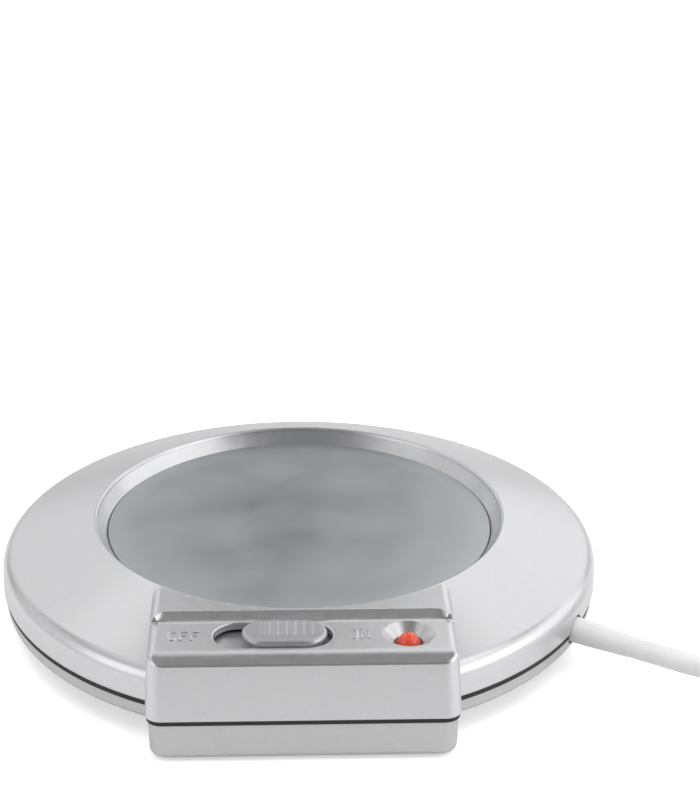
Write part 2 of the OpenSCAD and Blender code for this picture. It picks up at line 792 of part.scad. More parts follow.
module knob_ribs_cut() {
  first = knob_x - (knob_ribs - 1) * rib_pitch / 2;
  for (i = [0 : knob_ribs])
    translate([first + (i - 0.5) * rib_pitch, -control_y, knob_top + 0.1])
      rotate([90, 0, 0]) cylinder(r = 0.55, h = knob_w + 1, center = true, $fn = 32);
}

module switch_knob() {
  color([0.70, 0.70, 0.71]) difference() {
    union() {
      translate([knob_x, -control_y, shutter_z])
        linear_extrude(knob_top - shutter_z) stadium(knob_len, knob_w);
      translate([shutter_in, -control_y - slot_w / 2 - 1, shutter_z])
        cube([shutter_len, slot_w + 2, shutter_t]);
    }
    knob_ribs_cut();
    translate([lever_x, -control_y, shutter_z + 1.2])
      cube([lever_w + 0.1, lever_w + 0.1, 2.6], center = true);
  }
}

module switch_lever() {
  color([0.10, 0.10, 0.10]) {
    translate([lever_x, -control_y, frame_z - slack - lever_foot_h / 2])
      cube([foot_len, foot_w, lever_foot_h], center = true);
    translate([lever_x - lever_w / 2, -control_y - lever_w / 2, frame_z - slack])
      cube([lever_w, lever_w, shutter_z + 2.4 - frame_z + slack]);
  }
}

module contact_bridge() {
  color([0.80, 0.60, 0.30]) translate([lever_x - 3.5, -control_y - 2, bridge_z]) cube([7, 4, bridge_t]);
}

module switch_frame() {
  slot_half = (lever_w + switch_travel) / 2 + 0.4;
  color([0.68, 0.68, 0.68]) difference() {
    translate([slot_x, -control_y, frame_z]) linear_extrude(frame_t) {
      stadium(switch_pitch + frame_ear_w, frame_ear_w);
      square([switch_len + 2, frame_w], center = true);
    }
    translate([lever_x - switch_travel / 2 - slot_half, -control_y - lever_w / 2 - slack, frame_z - 1])
      cube([2 * slot_half, lever_w + 2 * slack, frame_t + 2]);
    for (s = [-1, 1])
      translate([slot_x + s * switch_pitch / 2, -control_y, frame_z - 1])
        cylinder(r = ear_screw_r + 0.2, h = frame_t + 2);
  }
}

module switch_body() {
  color([0.12, 0.12, 0.13]) difference() {
    translate([slot_x - switch_len / 2, -control_y - switch_w / 2, switch_z])
      cube([switch_len, switch_w, switch_h]);
    translate([lever_x - switch_travel - foot_len / 2 - 0.5, -control_y - foot_w / 2 - slack, cavity_z])
      cube([foot_len + switch_travel + 1, foot_w + 2 * slack, cavity_h + 1]);
    for (i = [-1 : 1])
      translate([slot_x + i * terminal_pitch - terminal_t / 2 - 0.05,
        -control_y - terminal_w / 2 - 0.05, switch_z - 1])
        cube([terminal_t + 0.1, terminal_w + 0.1, switch_h]);
  }
}

module switch_terminals() {
  color([0.80, 0.78, 0.70]) for (i = [-1 : 1]) {
    translate([slot_x + i * terminal_pitch - terminal_t / 2, -control_y - terminal_w / 2, terminal_z])
      cube([terminal_t, terminal_w, cavity_z - terminal_z + contact_t]);
    translate([slot_x + i * terminal_pitch - 1.4, -control_y - terminal_w / 2, cavity_z])
      cube([2.8, terminal_w, contact_t]);
  }
}

module switch_screws() {
  color([0.75, 0.74, 0.70]) for (s = [-1, 1])
    translate([slot_x + s * switch_pitch / 2, -control_y, frame_z]) {
      translate([0, 0, -1.2]) cylinder(r = 1.9, h = 1.2);
      cylinder(r = ear_screw_r, h = frame_t + 2.2);
    }
}

// ---------------------------------------------------------------- pilot lamp

module indicator_lens() {
  dome_z = panel_z - lens_r;
  color([0.95, 0.25, 0.12]) translate([lamp_x, -control_y, 0]) difference() {
    union() {
      translate([0, 0, lens_z]) cylinder(r = lens_r, h = dome_z - lens_z);
      translate([0, 0, dome_z]) sphere(r = lens_r);
      translate([0, 0, lamp_boss_z - lens_flange_t]) cylinder(r = lens_r + 1.2, h = lens_flange_t);
    }
    translate([0, 0, lens_z - 1]) cylinder(r = lens_bore_r, h = dome_z - lens_z + 0.8);
  }
}

module lens_clip() {
  color([0.70, 0.70, 0.70]) translate([lamp_x, -control_y, lamp_boss_z - lens_flange_t - clip_t])
    ring(clip_r, lens_r + snug, clip_t);
}

module neon_lamp() {
  color([0.95, 0.80, 0.70]) translate([lamp_x, -control_y, lamp_z]) {
    cylinder(r = lamp_r, h = lamp_boss_z - lamp_z - 1.5);
    translate([0, 0, lamp_boss_z - lamp_z - 1.5]) sphere(r = lamp_r);
  }
}

module ballast_resistor() {
  color([0.80, 0.70, 0.50]) translate(resistor_at)
    rotate([0, 90, 0]) cylinder(r = resistor_r, h = resistor_len);
}

// ---------------------------------------------------------------- wiring

module terminal_block() {
  color([0.90, 0.90, 0.86]) difference() {
    translate([block_x, block_y - block_w, sump_floor]) cube([block_len, block_w, block_h]);
    for (y = way_y, x = [0, block_len - 3])
      translate([block_x + x + 1.5, y, way_z + 1]) cylinder(r = 1.3, h = block_h);
  }
}

module terminal_screws() {
  color([0.80, 0.70, 0.40]) for (y = way_y, x = [0, block_len - 3])
    translate([block_x + x + 1.5, y, way_z + 1]) cylinder(r = 1.2, h = 2.2);
}

// points between a and b: each bow gives a share of the way and an offset from the straight line
function bowed(a, b, bows) = [for (w = bows) a + (b - a) * w[0] + [w[1], w[2], w[3]]];

// wire from start to end, which runs straight out of both for a little way
module lead(start, from, bows, to, end, d = wire_d) {
  swept(curve(concat([start, from], bowed(from, to, bows), [to, end]), 3), d / 2);
}

module live_lead() {
  color([0.45, 0.25, 0.15]) lead(relief_point(inner_end - wire_gap, -core_reach),
    relief_point(inner_end - 2.5, -core_reach),
    [[0.09, -1.1, 0.6, 0.2], [0.25, 0.1, -0.3, 0.2], [0.47, 0.1, -0.2, 0.4],
      [0.7, 0.2, -0.2, 0.5], [0.86, 0.9, -0.6, -0.1], [0.97, 0.9, -0.4, 0]],
    [right_face + 1.5, way_y[1], way_z], [right_face, way_y[1], way_z]);
}

module neutral_lead() {
  color([0.20, 0.35, 0.70]) lead(relief_point(inner_end - wire_gap, core_reach),
    relief_point(inner_end - 2.5, core_reach),
    [[0.09, -3.4, 2, 0.5], [0.28, -2.5, 1.4, 0.7], [0.52, -1.8, 1.1, 0.9],
      [0.73, -0.9, 0.4, 0.8], [0.88, 0, 0, 0.3], [0.96, 0.3, -0.4, 0]],
    [right_face + 1.2, way_y[0], way_z], [right_face, way_y[0], way_z]);
}

module switch_lead() {
  x = slot_x + terminal_pitch;
  color([0.45, 0.25, 0.15]) lead([left_face, way_y[1], way_z], [left_face - 1, way_y[1], way_z],
    [[0.33, 0.1, -0.8, -0.7], [0.72, 0.2, -1, -1.7], [1, 0, 0, -1]],
    [x, -control_y, terminal_z - 1], [x, -control_y, terminal_z - wire_gap]);
}

module cutout_lead() {
  z = cutout_z + cutout_t / 2;
  color([0.85, 0.85, 0.82]) lead([slot_x, -control_y, terminal_z - wire_gap],
    [slot_x, -control_y, terminal_z - 1],
    [[0.01, 0.1, 0.5, -1.3], [0.09, 0.4, 0.7, -2.1], [0.21, 0.8, 0.8, -2.1], [0.3, 0.7, 0.2, 0.1],
      [0.4, 0.1, -0.1, 1.1], [0.62, -1.6, -0.4, -0.1], [0.84, -4, -0.7, -0.3], [0.97, -3.1, -0.4, 0]],
    [-cutout_len / 2 - 1.5, cutout_y, z], [-cutout_len / 2 - wire_gap, cutout_y, z]);
}

module heater_live_lead() {
  x = tab_r * cos(tab_angles[0]);
  y = tab_r * sin(tab_angles[0]);
  z = cutout_z + cutout_t / 2;
  color([0.85, 0.85, 0.82]) lead([cutout_len / 2 + wire_gap, cutout_y, z],
    [cutout_len / 2 + 1.5, cutout_y, z],
    [[0.1, 3.2, -0.3, -0.4], [0.39, 3.7, -0.2, -1.2], [0.74, 2.2, -0.1, -1.8], [1, 0, 0, -1.4]],
    [x, y, tab_end_z - 1], [x, y, tab_end_z - wire_gap]);
}

module heater_return_lead() {
  x = tab_r * cos(tab_angles[1]);
  y = tab_r * sin(tab_angles[1]);
  color([0.85, 0.85, 0.82]) lead([x, y, tab_end_z - wire_gap], [x, y, tab_end_z - 1],
    [[0.02, 0.3, 0.3, -1.1], [0.2, 1.9, -1, -1.8], [0.48, 2, -1.7, -0.6],
      [0.75, -0.8, 0.8, 0.2], [0.95, -2.4, 2, 0.1], [1, -1.9, 0.6, 0]],
    [left_face - 1.2, way_y[0], way_z], [left_face, way_y[0], way_z]);
}

module lamp_leads() {
  y = -control_y;
  lead_d = 0.7;
  resistor_end = resistor_at + [resistor_len, 0, 0];
  terminal = [slot_x + terminal_pitch + terminal_t / 2, y, terminal_z + 2.1];
  block_edge = [right_face, way_y[0] - 1.8, way_z + 1.9];
  color([0.75, 0.75, 0.75]) {
    lead([lamp_x - 0.7, y, lamp_z - wire_gap], [lamp_x - 0.7, y, lamp_z - 0.7],
      [[0.51, 0.3, 0.2, -0.3]], resistor_end + [0.8, 0, 0], resistor_end + [wire_gap, 0, 0], lead_d);
    lead(resistor_at - [wire_gap, 0, 0], resistor_at - [1.6, 0, 0],
      [[0.15, 0, 0.2, 0], [0.28, 0.2, 0.1, -0.5], [0.54, 0.6, -0.2, -1.2], [0.86, 0.3, -0.2, -0.5]],
      terminal + [1, 0, 0], terminal + [wire_gap, 0, 0], lead_d);
    lead([lamp_x + 0.8, y, lamp_z - wire_gap], [lamp_x + 0.8, y, lamp_z - 0.7],
      [[0.34, 1.1, 0, 0], [0.75, 1.4, -0.1, -0.1]], block_edge + [0.9, 0, 0.1], block_edge, lead_d);
  }
}

// ---------------------------------------------------------------- cord

module inner_cord() {
  color([0.93, 0.93, 0.94]) along_relief()
    translate([0, 0, inner_end]) cylinder(d = cord_d, h = inner_cord_len);
}

module cord_relief() {
  color([0.93, 0.93, 0.94]) along_relief() {
    translate([0, 0, -relief_in]) cylinder(d = relief_d, h = relief_in + relief_out - relief_tip_len);
    translate([0, 0, relief_out - relief_tip_len])
      cylinder(r1 = relief_d / 2, r2 = relief_tip_r, h = relief_tip_len);
  }
}

module cord_clamp() {
  color([0.85, 0.85, 0.83]) difference() {
    at_cord_clamp() translate([-3, -clamp_reach - 2.6, 1]) cube([6, 2 * clamp_reach + 5.2, 3.6]);
    along_relief() cylinder(d = cord_d + 0.1, h = 60, center = true);
    for (s = [-1, 1]) at_cord_clamp() translate([0, s * clamp_reach, 0])
      cylinder(r = ear_screw_r + 0.2, h = 8);
  }
}

module cord_clamp_screws() {
  color([0.75, 0.74, 0.70]) for (s = [-1, 1]) at_cord_clamp() translate([0, s * clamp_reach, 0]) {
    translate([0, 0, 4.6]) cylinder(r = 1.8, h = 1.1);
    translate([0, 0, -2.4]) cylinder(r = ear_screw_r, h = 7);
  }
}

module supply_cord() {
  color([0.93, 0.93, 0.94]) swept(curve(lead_route, 3), cord_d / 2, 10);
}

// outer shape of the coil: a wide row of turns with a narrower row on it
module cord_coil() {
  half = cord_d / 2;
  inside = coil_turn_r[0] - half;
  color([0.93, 0.93, 0.94]) translate(coil_at) rotate_extrude()
    polygon(rounded([[inside, 0, 1.5], [coil_turn_r[3] + half, 0, 1.5], [coil_turn_r[3] + half, cord_d, 1.5],
      [coil_turn_r[2] + half, cord_d, 0], [coil_turn_r[2] + half, 2 * cord_d, 1.5],
      [inside, 2 * cord_d, 1.5]], 4));
}

module coil_tie() {
  tie_t = 0.8;
  half = cord_d / 2;
  x0 = coil_turn_r[0] - half - 0.2;
  x1 = coil_turn_r[3] + half + 0.2;
  color([0.20, 0.20, 0.20]) translate(coil_at) rotate(100) translate([0, -1.5, 0]) difference() {
    translate([x0 - tie_t, 0, 0]) cube([x1 - x0 + 2 * tie_t, 3, 2 * cord_d + tie_t + 0.1]);
    translate([x0, -1, -1]) cube([x1 - x0, 5, 2 * cord_d + 1.1]);
  }
}

module plug_lead() {
  color([0.93, 0.93, 0.94]) swept(curve(tail_route, 3), cord_d / 2, 10);
}

module plug_body() {
  color([0.93, 0.93, 0.94]) translate(plug_at) rotate([-90, 0, 0]) {
    cylinder(r1 = relief_tip_r, r2 = 3.6, h = plug_neck_len);
    translate([0, 0, plug_neck_len]) hull() {
      linear_extrude(0.5) stadium(plug_w * 0.6, plug_h * 0.7, $fn = 32);
      translate([0, 0, 8]) linear_extrude(plug_len - 8) stadium(plug_w, plug_h - 0.2, $fn = 32);
    }
  }
}

module plug_blades() {
  color([0.80, 0.72, 0.50]) translate(plug_at + [0, plug_neck_len + plug_len, 0]) for (s = [-1, 1])
    translate([s * blade_pitch / 2 - 0.75, 0, -3.2]) difference() {
      cube([1.5, blade_len, 6.4]);
      translate([-1, blade_len - 4.3, 3.2]) rotate([0, 90, 0]) cylinder(r = 1.6, h = 4);
    }
}

// ---------------------------------------------------------------- fasteners and feet

module housing_screws() {
  color([0.70, 0.70, 0.68]) at_housing_screws() {
    translate([0, 0, seat_z - screw_head_h]) cylinder(r = screw_head_r, h = screw_head_h);
    translate([0, 0, seat_z]) cylinder(r = screw_r, h = screw_len);
  }
}

module foot_pads() {
  color([0.18, 0.18, 0.18]) for (p = [rear_foot, front_foot], s = [-1, 1])
    translate([s * p[0], p[1], 0]) cylinder(r = front_pad_r, h = pad_t);
}

upper_housing();
lower_housing();
seam_seal();
hot_plate();
plate_seal();
plate_ring();
plate_ring_screws();
heater_stud();
upper_mica();
heater_winding();
lower_mica();
insulation_pad();
heater_clamp();
clamp_washer();
clamp_nut();
thermal_cutout();
cutout_strap();
heat_shield();
switch_knob();
switch_lever();
contact_bridge();
switch_frame();
switch_body();
switch_terminals();
switch_screws();
indicator_lens();
lens_clip();
neon_lamp();
ballast_resistor();
terminal_block();
terminal_screws();
cord_clamp();
cord_clamp_screws();
inner_cord();
cord_relief();
supply_cord();
cord_coil();
coil_tie();
plug_lead();
plug_body();
plug_blades();
housing_screws();
foot_pads();
live_lead();
neutral_lead();
switch_lead();
cutout_lead();
heater_live_lead();
heater_return_lead();
lamp_leads();
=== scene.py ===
import json
import math

import bmesh
import bpy
import numpy as np
from mathutils import Matrix

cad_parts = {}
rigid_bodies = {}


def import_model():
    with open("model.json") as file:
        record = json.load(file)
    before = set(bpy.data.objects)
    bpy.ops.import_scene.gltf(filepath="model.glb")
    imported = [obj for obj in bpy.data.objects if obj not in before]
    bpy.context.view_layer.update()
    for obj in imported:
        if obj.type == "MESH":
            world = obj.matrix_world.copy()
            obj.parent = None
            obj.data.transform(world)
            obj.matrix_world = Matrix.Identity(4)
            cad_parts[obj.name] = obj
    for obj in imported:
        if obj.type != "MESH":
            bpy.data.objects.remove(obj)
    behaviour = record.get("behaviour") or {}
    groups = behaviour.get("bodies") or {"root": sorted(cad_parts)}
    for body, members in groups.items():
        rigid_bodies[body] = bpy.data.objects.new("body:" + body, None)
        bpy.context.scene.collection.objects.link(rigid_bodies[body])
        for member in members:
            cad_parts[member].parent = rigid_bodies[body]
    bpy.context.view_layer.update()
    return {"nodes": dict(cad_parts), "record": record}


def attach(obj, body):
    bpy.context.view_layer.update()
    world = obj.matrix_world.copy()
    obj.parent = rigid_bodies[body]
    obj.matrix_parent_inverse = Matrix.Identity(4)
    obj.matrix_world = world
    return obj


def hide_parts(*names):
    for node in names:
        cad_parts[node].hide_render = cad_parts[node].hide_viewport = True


for leftover in list(bpy.data.objects):
    bpy.data.objects.remove(leftover)
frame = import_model()
nodes = frame["nodes"]
scene = bpy.context.scene
mm = 0.001  # shapes are worked out in millimetres, their meshes are in metres
joinWithin = 2e-7  # metres: nearer points become one
sliverUnder = 1e-7  # metres: shorter edges are dissolved
softUpTo = 35.0  # degrees: an edge that turns more stays sharp

# camera fitted to the rims, the panel and the box: its place in millimetres, degrees, and the
# lens and sensor in millimetres; near and far are in metres
view = {
    "at": (-4.027, -413.449, 226.532), "pan": 2.074, "tilt": 23.053, "roll": 0.334,
    "lens": 95.14, "sensor": 36.0, "near": 0.01, "far": 20.0,
}


def placed(axes, at):
    # matrix whose columns are the three axes and the place
    return Matrix([[*axes[row], at[row]] for row in range(3)] + [[0, 0, 0, 1]])


def addCamera():
    pan, tilt, roll = (math.radians(view[key]) for key in ("pan", "tilt", "roll"))
    ahead = np.array(
        [math.sin(pan) * math.cos(tilt), math.cos(pan) * math.cos(tilt), -math.sin(tilt)])
    flat = np.array([math.cos(pan), -math.sin(pan), 0.0])
    lift = np.cross(flat, ahead)
    right = math.cos(roll) * flat + math.sin(roll) * lift
    up = -math.sin(roll) * flat + math.cos(roll) * lift
    data = bpy.data.cameras.new("mainCamera")
    data.lens, data.sensor_width = view["lens"], view["sensor"]
    data.clip_start, data.clip_end = view["near"], view["far"]
    camera = bpy.data.objects.new("mainCamera", data)
    scene.collection.objects.link(camera)
    camera.matrix_world = placed(
        np.stack([right, up, -ahead], axis=1), [along * mm for along in view["at"]])
    scene.camera = camera


addCamera()
print("camera")


def unit(vectors):
    vectors = np.asarray(vectors, float)
    return vectors / np.linalg.norm(vectors, axis=-1, keepdims=True)


def ease(value):
    # from 0 to 1 with a level start and end
    value = np.clip(value, 0, 1)
    return value * value * (3 - 2 * value)


def acrossOf(ahead):
    # directions to the side of a nearly level line, and up from it
    side = unit(np.cross([0, 0, 1], ahead))
    return side, np.cross(ahead, side)


def finishMesh(obj, crease=softUpTo):
    obj.data.shade_smooth()
    obj.data.set_sharp_from_angle(angle=math.radians(crease))
    return obj


def solid(name, points, polygons, crease=softUpTo):
    # closed surface from points in millimetres, its doubled points joined, turned outward
    mesh = bpy.data.meshes.new(name)
    mesh.from_pydata((np.asarray(points, float) * mm).tolist(), [], polygons)
    shape = bmesh.new()
    shape.from_mesh(mesh)
    bmesh.ops.remove_doubles(shape, verts=shape.verts, dist=joinWithin)
    bmesh.ops.recalc_face_normals(shape, faces=shape.faces)
    shape.to_mesh(mesh)
    shape.free()
    obj = bpy.data.objects.new(name, mesh)
    scene.collection.objects.link(obj)
    return finishMesh(obj, crease)


def gridFaces(rows, columns, wrapRows=False, wrapColumns=False, first=0):
    # quads of a grid of points, row by row, closed round on itself where wrapped
    i = np.arange(rows if wrapRows else rows - 1)[:, None]
    j = np.arange(columns if wrapColumns else columns - 1)[None, :]
    down, across = (i + 1) % rows, (j + 1) % columns
    corners = [i * columns + j, i * columns + across, down * columns + across, down * columns + j]
    quads = np.stack([corner + 0 * (i + j) for corner in corners], axis=-1)
    return (quads.reshape(-1, 4) + first).tolist()


def rounded(corners, steps=6):
    # points of a line whose corners (x, y, radius) are arcs; the two ends stay sharp
    line = []
    for index, (x, y, radius) in enumerate(corners):
        here = np.array([x, y], float)
        if radius == 0 or index in (0, len(corners) - 1):
            line.append(here)
            continue
        back = unit(np.array(corners[index - 1][:2], float) - here)
        on = unit(np.array(corners[index + 1][:2], float) - here)
        half = math.acos(float(back @ on)) / 2
        middle = here + unit(back + on) * radius / math.sin(half)
        start, end = here + back * radius / math.tan(half), here + on * radius / math.tan(half)
        a, b = start - middle, end - middle
        turn = math.atan2(a[0] * b[1] - a[1] * b[0], a @ b)
        angle = np.linspace(0, turn, steps + 1)[:, None]
        line.extend(middle + a * np.cos(angle) + np.array([-a[1], a[0]]) * np.sin(angle))
    return np.array(line)


def circle(count):
    # angles evenly round a circle, short of the full turn
    return np.linspace(0, 2 * np.pi, count, endpoint=False)


def revolve(name, profile, segments=256, place=(0, 0, 0)):
    # point (r, z) of the profile at angle t: (r cos t, r sin t, z)
    profile = np.asarray(profile, float)
    angle = circle(segments)
    r, z = profile[:, :1], profile[:, 1:]
    ring = np.stack([r * np.cos(angle), r * np.sin(angle), z + 0 * angle], axis=-1)
    points = ring.reshape(-1, 3) + np.asarray(place, float)
    return solid(name, points, gridFaces(len(profile), segments, wrapColumns=True))


def loft(name, rings, crease=softUpTo, closed=False):
    # closed rings of points, skinned one to the next; the end rings are filled
    rings = np.asarray(rings, float)
    count, around = rings.shape[:2]
    faces = gridFaces(count, around, wrapRows=closed, wrapColumns=True)
    if not closed:
        faces += [list(range(around)), list(range((count - 1) * around, count * around))]
    return solid(name, rings.reshape(-1, 3), faces, crease)


def level(outline, z):
    # the outline as a ring of points at the height z
    return np.c_[outline, np.full(len(outline), z)]


def upright(name, outline, low, high):
    # bar with the outline as its section, from one height to another
    return loft(name, [level(outline, z) for z in (low, high)])


def block(name, low, high):
    x, y, z = zip(low, high)
    base = np.array([(x[0], y[0]), (x[1], y[0]), (x[1], y[1]), (x[0], y[1])])
    return upright(name, base, *z)


def post(name, x, y, low, high, radius, segments=40):
    return revolve(name, [(0, low), (radius, low), (radius, high), (0, high)], segments, (x, y, 0))


def tube(name, path, radius, around=24, crease=50.0):
    # circle of the radius swept along the path: p + r (side cos t + top sin t)
    side, top = acrossOf(unit(np.gradient(path, axis=0)))
    angle = circle(around)[None, :, None]
    turned = side[:, None] * np.cos(angle) + top[:, None] * np.sin(angle)
    return loft(name, path[:, None] + radius * turned, crease)


def evenly(line, step):
    # the same line with its points a step apart
    run = np.r_[0, np.cumsum(np.linalg.norm(np.diff(line, axis=0), axis=1))]
    at = np.linspace(0, run[-1], int(round(run[-1] / step)) + 1)
    return np.stack([np.interp(at, run, line[:, axis]) for axis in range(3)], axis=1)


def smoothPath(route, step, parts=24):
    # Catmull-Rom curve: between b and c, (2b + (c-a)t + (2a-5b+4c-d)t^2 + (3b-a-3c+d)t^3) / 2
    p = np.asarray(route, float)
    a, b, c, d = (q[:, None] for q in (p[:-3], p[1:-2], p[2:-1], p[3:]))
    t = np.linspace(0, 1, parts, endpoint=False)[None, :, None]
    fine = 0.5 * (
        2 * b + (c - a) * t + (2 * a - 5 * b + 4 * c - d) * t**2 + (3 * b - a - 3 * c + d) * t**3)
    return evenly(np.vstack([fine.reshape(-1, 3), p[-2]]), step)


def combine(target, tools, operation="DIFFERENCE", crease=softUpTo):
    # cuts the tools from the target, or joins them to it, and removes them
    for tool in tools:
        modifier = target.modifiers.new(tool.name, "BOOLEAN")
        modifier.operation = operation
        modifier.solver = "EXACT"
        modifier.object = tool
    bpy.context.view_layer.update()
    graph = bpy.context.evaluated_depsgraph_get()
    result = bpy.data.meshes.new_from_object(target.evaluated_get(graph))
    shape = bmesh.new()
    shape.from_mesh(result)
    bmesh.ops.remove_doubles(shape, verts=shape.verts, dist=joinWithin)
    bmesh.ops.dissolve_degenerate(shape, edges=shape.edges, dist=sliverUnder)
    bmesh.ops.holes_fill(shape, edges=[e for e in shape.edges if e.is_boundary], sides=4)
    shape.to_mesh(result)
    shape.free()
    target.modifiers.clear()
    target.data = result
    for tool in tools:
        bpy.data.objects.remove(tool)
    return finishMesh(target, crease)


def joined(name, parts, crease=softUpTo):
    # the parts as one piece of that name
    whole = combine(parts[0], parts[1:], "UNION", crease)
    whole.name = name
    return whole


def evenShading(piece):
    # the flat faces' normals win over those of narrow edge rows
    weighted = piece.modifiers.new("weighted", "WEIGHTED_NORMAL")
    weighted.keep_sharp = True
    return piece


def stadium(length, width, count=96):
    # outline of a bar with round ends, starting at its right end
    angle = circle(count) + np.pi / count
    c, s = np.cos(angle), np.sin(angle)
    return np.stack([np.sign(c) * (length - width) / 2 + width / 2 * c, width / 2 * s], axis=1)


# the cord's route in metres, the one of the built model: to the coil, and on to the plug
leadRoute = [
    (0.0684, -0.0352, 0.00825), (0.0725, -0.0371, 0.0078), (0.0768, -0.0385, 0.007),
    (0.0813, -0.0392, 0.0059), (0.086, -0.0394, 0.0048), (0.091, -0.0392, 0.0037),
    (0.0965, -0.0388, 0.0028), (0.103, -0.0384, 0.0024), (0.11, -0.0382, 0.0023),
    (0.117, -0.0382, 0.0023), (0.124, -0.0382, 0.0023),
]
tailRoute = [
    (0.149, -0.028, 0.0068), (0.156, -0.0235, 0.0069), (0.163, -0.0185, 0.0066),
    (0.169, -0.0125, 0.0056), (0.1735, -0.0055, 0.0044), (0.176, 0.0025, 0.0037),
    (0.177, 0.0105, 0.0042), (0.177, 0.018, 0.0053), (0.177, 0.024, 0.0058),
]
cord = {
    "across": 4.5, "step": 1.2,  # thickness, and the distance between its rings
    "exitR": 65.0, "exitAngle": -27.5, "exitZ": 9.5,  # where it leaves the body
    "heading": -26.0, "fall": 6.0,  # degrees: the way it leaves, and how it slopes down
    "run": 6.0,  # how far it stays straight before and after the exit
}
# the coil: its middle, the radii of its turns and, in degrees round it, its first and last point,
# where the turns below step inward, where the cord climbs, where the turns above step outward,
# over how much of a turn they do so, and where the tie is, which lifts the strands a little
coil = {
    "at": (132.0, -5.0), "turns": (33.25, 28.75, 24.25, 19.75), "first": -90.0, "last": 2106.5,
    "each": 2.4, "inward": 230, "climb": 190, "outward": 150, "over": 40,
    "tie": 100.0, "tieLift": 0.5, "tieWide": 11.0,
}
exitAngle, heading, fall = (math.radians(cord[key]) for key in ("exitAngle", "heading", "fall"))
exitAt = np.array(
    [cord["exitR"] * math.cos(exitAngle), cord["exitR"] * math.sin(exitAngle), cord["exitZ"]])
outward = np.array(
    [math.cos(heading) * math.cos(fall), math.sin(heading) * math.cos(fall), -math.sin(fall)])


def coilPath():
    # Angle a grows from the first to the last. Four turns lie below, each one strand further
    # in than the one before; the cord then climbs by its thickness, and the turns above step
    # outward again. Under the tie it is lifted by a bell curve.
    a = np.arange(coil["first"], coil["last"], coil["each"])
    turns = coil["turns"]
    radius = np.full(len(a), turns[0])
    height = np.full(len(a), cord["across"] / 2)
    for index in range(3):
        share = ease((a - (coil["inward"] + 360 * index)) / coil["over"])
        radius += share * (turns[index + 1] - turns[index])
    height += ease((a - (coil["climb"] + 360 * 3)) / coil["over"]) * cord["across"]
    for index in range(2):
        share = ease((a - (coil["outward"] + 360 * (4 + index))) / coil["over"])
        radius += share * (turns[2 - index] - turns[3 - index])
    fromTie = (a - coil["tie"] + 180) % 360 - 180
    height += coil["tieLift"] * np.exp(-((fromTie / coil["tieWide"]) ** 2))
    t = np.radians(a)
    x, y = coil["at"]
    return np.stack([x + radius * np.cos(t), y + radius * np.sin(t), height], axis=1)


def cordPath():
    # the tail's first point is the coil's end, which the turns give here
    leads, tails = np.array(leadRoute) / mm, np.array(tailRoute) / mm
    turns = coilPath()
    start = [exitAt + outward * along for along in (-cord["run"], 0, cord["run"])]
    lead = smoothPath([*start, *leads, turns[0], turns[6]], cord["step"])
    beyond = tails[-1] + [0, cord["run"], 0]
    tail = smoothPath([turns[-7], turns[-1], *tails[1:], beyond], cord["step"])
    return evenly(np.vstack([lead[:-1], turns[:-1], tail]), cord["step"])


path = cordPath()
mainsCord = tube("mainsCord", path, cord["across"] / 2)
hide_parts("supply_cord", "cord_coil", "plug_lead")
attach(mainsCord, "base")

# sleeve that eases the cord out of the body, straight and then tapered, and the hole round it;
# "inside" and "end" are measured outward from the body's side
relief = {
    "inside": -7.0, "end": 12.0, "radius": 2.7, "taper": 9.0, "tip": 2.3, "bend": 6.0,
    "snug": 0.05, "hole": 3.2, "holeReach": 16.0, "around": 48,
}


def ringsAlongRelief(profile):
    # profile point (r, d): exit + d outward + r (side cos t + top sin t)
    axis = unit(outward)
    side, top = acrossOf(axis)
    angle = circle(relief["around"])[None, :, None]
    radius, along = profile[:, :1, None], profile[:, 1:, None]
    return exitAt + along * axis + radius * (side * np.cos(angle) + top * np.sin(angle))


def addRelief():
    r, tip, end = relief["radius"], relief["tip"], relief["end"]
    bore = cord["across"] / 2 - relief["snug"]
    line = rounded(
        [(bore, relief["inside"], 0), (r, relief["inside"], 0.2),
         (r, end - relief["taper"], relief["bend"]), (tip, end - relief["snug"], 0),
         (bore, end, 0)], 7)
    return loft("cordRelief", ringsAlongRelief(line), 40, closed=True)


def reliefHole():
    r, reach = relief["hole"], relief["holeReach"]
    rings = ringsAlongRelief(np.array([(0, -reach), (r, -reach), (r, reach), (0, reach)]))
    return solid("reliefHole", rings.reshape(-1, 3),
                 gridFaces(len(rings), relief["around"], wrapColumns=True))


cordRelief = addRelief()
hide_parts("cord_relief")
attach(cordRelief, "base")

# plug: a neck that swells into a flat body with round sides and finger grooves
plug = {
    "at": (177.0, 24.0, 5.8), "long": 32.0, "wide": 22.0, "high": 11.4,
    "neck": 2.4, "collar": 1.1, "collarLong": 8.0, "swellFrom": 6.5, "swellLong": 9.0,
    "square": 1.2,  # how much the section's power grows from a circle's 2
    "round": 1.4, "drawnIn": 1.2,
    "grooves": 5, "groovesFrom": 17.0, "groovesLong": 10.0, "grooveDeep": 0.45,
}


